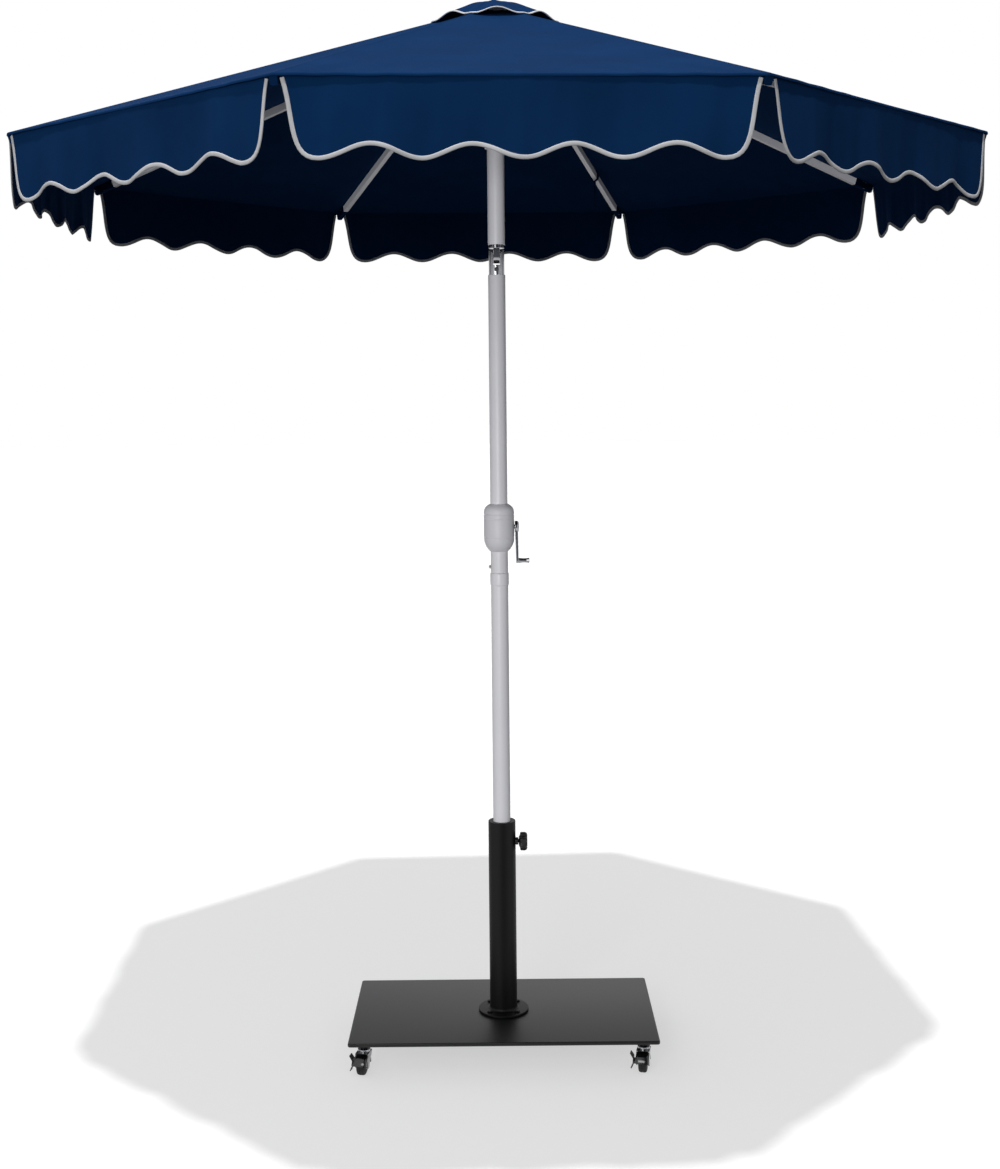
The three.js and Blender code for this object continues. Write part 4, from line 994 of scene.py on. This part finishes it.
parts = []
for corner in range(4):
    swing = math.radians(45 + 90 * corner)
    head = [[0, 0.0751], [0.0066, 0.0751], [0.0066, 0.0759], [0.0054, 0.0759]]
    head += [[0.0054, 0.0781], [0.0044, 0.0788], [0, 0.0788]]
    spot = (0.0425 * math.cos(swing), 0.0425 * math.sin(swing), 0)
    parts.append(lathe(head, spot, "z", 6))
points, faces = gather(*parts)
attach(make("flange_bolts", points, faces, upright_coat, crease=25), "base", "black_paint")

nut = [[0.0044, 0.0288], [0.008, 0.0288], [0.008, 0.0348], [0.0072, 0.036], [0.0044, 0.036]]
points, faces = lathe(rounded(nut, 0.4 * MILLI, closed=True), (0, 0, KNOB_LEVEL), "x", 40, closed=True)
attach(make("clamp_nut", points, faces, black_coat), "base", "black_paint")
print("sleeve: turned, with bolts and nut")

# %% Plate
PLATE_X, PLATE_Y, PLATE_CORNER = 0.3285, 0.177, 0.006
swing = np.linspace(0, np.pi / 2, 9)
corner = PLATE_CORNER * np.stack([np.cos(swing), np.sin(swing)], axis=1)
outline = []
for quarter, (sx, sy) in enumerate(((1, 1), (-1, 1), (-1, -1), (1, -1))):
    c, s = math.cos(quarter * math.pi / 2), math.sin(quarter * math.pi / 2)
    turned = corner @ np.array([[c, s], [-s, c]])
    outline.append(turned + [sx * (PLATE_X - PLATE_CORNER), sy * (PLATE_Y - PLATE_CORNER)])
parts = [slab(np.concatenate(outline), 0.062, 0.070, 2.2 * MILLI)]
CASTERS = {1: (-0.296, -0.148), 2: (0.296, -0.148), 3: (0.296, 0.148), 4: (-0.296, 0.148)}
boss = [[0.0044, 0.0505], [0.0076, 0.0505], [0.0076, 0.0620], [0.0095, 0.0626], [0.0044, 0.0626]]
for x, y in CASTERS.values():
    parts.append(lathe(rounded(boss, 0.6 * MILLI, closed=True), (x, y, 0), "z", 32, closed=True))
points, faces = gather(*parts)
attach(make("base_plate_coated", points, faces, black_coat, crease=40), "base", "black_paint", "base_plate")
print("plate: 657 x 354 x 8 mm")

# %% [markdown]
# ## The clamp knob
#
# A hand knob with seven soft lobes tightens the sleeve on the pole. It is a turned profile whose radius
# also rises and falls seven times on the way round, most at the rim and not at all in the middle.

# %% Knob
KNOB_LOBES = 7


def lobed(r, angle):
    """The radius with seven lobes: r + depth (r / rim)^3 cos(7 a)."""
    return r + 1.9 * MILLI * np.clip(r / 0.0186, 0, 1) ** 3 * np.cos(KNOB_LOBES * angle)


knob = [[0, 0.0194], [0.004, 0.0194], [0.004, 0.037], [0.0095, 0.037], [0.0130, 0.0392], [0.0180, 0.0402]]
knob += [[0.0186, 0.0425], [0.0186, 0.0505], [0.0172, 0.0545], [0.0140, 0.0560], [0.0105, 0.0553]]
knob += [[0.0085, 0.0538], [0.006, 0.0536], [0, 0.0536]]
points, faces = lathe(rounded(knob, 1.0 * MILLI), (0, 0, KNOB_LEVEL), "x", 112, radius_of=lobed)
attach(make("clamp_knob_lobed", points, faces, black_nylon), "clamp_knob", "black_plastic", "clamp_knob")
print("knob:", KNOB_LOBES, "lobes")

# %% [markdown]
# ## Casters
#
# Each caster has a swivelling fork of pressed steel in gloss black with a rounded guard over the wheel, a
# bright ring where its bearing sits, and a small wheel with a grooved tyre. The two at the front have a
# brake: a black lever with a zinc spring tab below. A caster is made in its own frame, with the stem on
# the axis, and then turned and set under its boss.

# %% Casters
TRAIL, AXLE = 14.0 * MILLI, 20.0 * MILLI
RING_LEVEL = 44.7 * MILLI  # the fork's bright bearing ring starts above this
caster_turn = math.radians(-102.0)


def on_caster(points, number):
    """Points of a caster's own frame under its boss: turned about the stem, then moved."""
    c, s = math.cos(caster_turn), math.sin(caster_turn)
    x, y = CASTERS[number]
    turned = points @ np.array([[c, s, 0], [-s, c, 0], [0, 0, 1]])
    return turned + [x, y, 0]


def tread(r, angle):
    """Tyre radius: shallow cuts across the tread, 24 to a turn, only where the tyre is thickest."""
    cut = np.clip(np.cos(24 * angle) * 6 - 4.4, 0, 1)
    return r - 0.5 * MILLI * cut * (r > 0.0188)


wheel_profile = [[0.0082, -0.0086], [0.0165, -0.0086], [0.0190, -0.0072], [0.0201, -0.0040]]
wheel_profile += [[0.0201, -0.0008], [0.0193, -0.0004], [0.0193, 0.0004], [0.0201, 0.0008]]
wheel_profile += [[0.0201, 0.0040], [0.0190, 0.0072], [0.0165, 0.0086], [0.0082, 0.0086]]
hub_profile = [[0.0035, -0.0099], [0.0060, -0.0099], [0.0080, -0.0092], [0.0082, -0.0080], [0.0082, 0.0080]]
hub_profile += [[0.0080, 0.0092], [0.0060, 0.0099], [0.0035, 0.0099]]
guard_outer = [[-14.3, 15], [-14.3, 19.5], [-13.4, 22.3], [-11.4, 23.7], [-8.5, 24.1], [-4, 24.3], [0, 24.4]]
guard_outer += [[-y, r] for y, r in guard_outer[-2::-1]]
guard_inner = [[-12.7, 15], [-12.7, 19.3], [-12.0, 21.4], [-10.6, 22.3], [-8.2, 22.6], [-4, 22.8], [0, 22.9]]
guard_inner += [[-y, r] for y, r in guard_inner[-2::-1]]
swing = np.radians(np.linspace(12, 176, 34))[:, None]


def guard(section):
    """A section (across, radius) carried round the axle: (trail + r cos a, y, axle + r sin a)."""
    across, r = (np.array(section) * MILLI).T
    return np.stack(
        [TRAIL + r * np.cos(swing), across + 0 * swing, AXLE + r * np.sin(swing)], axis=-1
    )


tab = [[-17.0, 19.5], [-19.0, 21.0], [-24.8, 12.6], [-23.6, 8.4], [-22.0, 9.0], [-22.9, 12.6]]
tab = np.array(tab) * MILLI
TAB_HALF = 4.5 * MILLI
hub_profile = rounded(hub_profile, 0.5 * MILLI, closed=True)
for number in CASTERS:
    points, faces = shell(guard(guard_outer), guard(guard_inner))
    hood = make(f"caster_guard_{number}", on_caster(points, number), faces, enamel, crease=50)
    attach(hood, f"caster_{number}", "black_enamel")
    fork = refined(f"caster_fork_{number}", 1.1, enamel)
    fork.data.materials.append(chrome)
    level = np.array([face.center.z for face in fork.data.polygons])
    fork.data.polygons.foreach_set("material_index", (level > RING_LEVEL).astype(np.int32))
    attach(fork, f"caster_{number}", "black_enamel", f"caster_fork_{number}")
    points, faces = lathe(wheel_profile, (TRAIL, 0, AXLE), "y", 96, closed=True, radius_of=tread)
    wheel = make(f"caster_tyre_{number}", on_caster(points, number), faces, tyre)
    attach(wheel, f"wheel_{number}", "wheel_rubber", f"caster_wheel_{number}")
    points, faces = lathe(hub_profile, (TRAIL, 0, AXLE), "y", 40, closed=True)
    hub = make(f"caster_wheel_hub_{number}", on_caster(points, number), faces, black_nylon)
    attach(hub, f"wheel_{number}", "black_plastic")
for number in (1, 2):
    pedal = refined(f"brake_pedal_{number}", 0.5, black_nylon)
    attach(pedal, f"brake_pedal_{number}", "black_plastic", f"brake_pedal_{number}")
    points, faces = slab(tab, TRAIL - TAB_HALF, TRAIL + TAB_HALF, 0.3 * MILLI, axis="x")
    spring_tab = make(f"brake_spring_tab_{number}", on_caster(points, number), faces, zinc)
    attach(spring_tab, f"brake_pedal_{number}", "zinc_plate")
print("casters: 4, the front two braked")

# %% [markdown]
# ## Light and floor
#
# A catalogue picture has a white sweep, a soft light from the front and left, and a weak light straight
# above that draws the canopy's eight-sided shadow on the floor. A low softbox lights only the white
# parts, as a flag in front of it would make it do, so that the pole stays bright up to the crown while
# the cloth stays deep. The crown's hub is kept out of it, because it stands in the dark under the hood.
#
# The room itself gives a soft light from everywhere above the floor. The sweep does not throw light back
# up. What shiny metal reflects is a row of bright and dark panels round the room.

# %% Room
world = bpy.data.worlds.new("studio")
bpy.context.scene.world = world
world.use_nodes = True
tree = world.node_tree
tree.nodes.clear()
ray = add(tree, "LightPath")
sky = add(tree, "TexCoord")
way = add(tree, "SeparateXYZ", {"Vector": sky.outputs["Generated"]})
above = add(
    tree,
    "MapRange",
    {"Value": way.outputs["Z"], "From Min": -0.05, "From Max": 0.1, "To Min": 0.08, "To Max": 0.4},
)
back = calc(tree, "MULTIPLY", way.outputs["Y"], -1.0)
bearing = calc(tree, "ARCTAN2", way.outputs["X"], back)
share = add(tree, "MapRange", {"Value": bearing, "From Min": -math.pi, "From Max": math.pi})
panels = ramp(
    tree,
    share.outputs[0],
    [
        (0.0, "#e8e8ea"), (0.22, "#9c9ca0"), (0.30, "#f4f4f4"), (0.38, "#ffffff"),
        (0.43, "#ffffff"), (0.47, "#55565a"), (0.54, "#6a6b70"), (0.60, "#d0d0d4"),
        (0.68, "#ffffff"), (0.76, "#a2a3a8"), (1.0, "#e8e8ea"),
    ],
)
from_left = calc(tree, "MULTIPLY_ADD", way.outputs["X"], -0.5, 1.0)
glow = calc(tree, "MULTIPLY", above.outputs[0], from_left)
room = add(tree, "Background", {"Color": (1, 1, 1, 1), "Strength": glow})
low_down = add(tree, "MapRange", {"Value": way.outputs["Z"], "From Min": -0.25, "From Max": -0.5})
around = add(
    tree,
    "Mix",
    {0: low_down.outputs[0], 6: panels.outputs["Color"], 7: linear("#f0f0f0")},
    data_type="RGBA",
)
mirrored = add(tree, "Background", {"Color": around.outputs[2], "Strength": 1.0})
backdrop = add(tree, "Background", {"Color": (1, 1, 1, 1), "Strength": 1.0})
seen = add(
    tree, "MixShader", {0: ray.outputs["Is Glossy Ray"], 1: room.outputs[0], 2: mirrored.outputs[0]}
)
shown = add(
    tree, "MixShader", {0: ray.outputs["Is Camera Ray"], 1: seen.outputs[0], 2: backdrop.outputs[0]}
)
add(tree, "OutputWorld", {"Surface": shown.outputs[0]})


def lamp(name, kind, place, aim, **settings):
    """A light at a place, aimed at a point."""
    data = bpy.data.lights.new(name, kind)
    for key, value in settings.items():
        setattr(data, key, value)
    light = bpy.data.objects.new(name, data)
    light.location = place
    away = np.array(aim, float) - np.array(place, float)
    light.rotation_euler = (
        math.atan2(math.hypot(away[0], away[1]), -away[2]),
        0,
        math.atan2(-away[0], away[1]) if math.hypot(away[0], away[1]) > 1e-6 else 0,
    )
    bpy.context.scene.collection.objects.link(light)
    return light


lamp("overhead", "SUN", (0, -1.28, 6), (0, 0, 0), energy=2.35, angle=math.radians(1.6))
chest = (0, 0, 1.6)
box = {"shape": "RECTANGLE", "size": 1.6, "size_y": 2.0}
low_box = {"shape": "RECTANGLE", "size": 2.0, "size_y": 1.4}
softbox = lamp("softbox", "AREA", (-1.6, -5.0, 2.6), chest, energy=52, **box)
low_softbox = lamp("low_softbox", "AREA", (-0.9, -5.6, 0.8), chest, energy=148, **low_box)
white_parts = [
    piece for piece in bpy.data.objects
    if piece.type == "MESH" and any(m in (pole_coat, light_nylon) for m in piece.data.materials)
]
for light, state in ((low_softbox, "INCLUDE"), (softbox, "EXCLUDE")):
    group = bpy.data.collections.new(f"{light.name}_on_white")
    for piece in white_parts:
        if state == "EXCLUDE" or "crown_hub" not in piece.name:
            group.objects.link(piece)
    for member in group.collection_objects:
        member.light_linking.link_state = state
    light.light_linking.receiver_collection = group

# %% Floor
floor_finish, tree, shader = finish_of(
    "glowing_white_acrylic",
    "#bcbcbc",
    Roughness=0.9,
    Specular_IOR_Level=0.0,
    Emission_Color=(1.0, 1.0, 1.0, 1.0),
    Emission_Strength=0.545,
)
place_node = add(tree, "TexCoord")
speck = add(tree, "TexNoise", {"Vector": place_node.outputs["Object"], "Scale": 30.0, "Detail": 2.0})
tone = ramp(tree, speck.outputs["Fac"], [(0.3, "#bbbbbb"), (0.7, "#bdbdbd")])
tree.links.new(tone.outputs["Color"], shader.inputs["Base Color"])
reach = 40.0
points = np.array([[-reach, -reach, 0], [reach, -reach, 0], [reach, reach, 0], [-reach, reach, 0]], float)
floor = make("studio_floor", points - [0, 0, 0.0004], [[0, 1, 2, 3]], floor_finish, smooth=False)
floor.visible_diffuse = False
floor.visible_glossy = False
print("studio: floor, room and three lights")
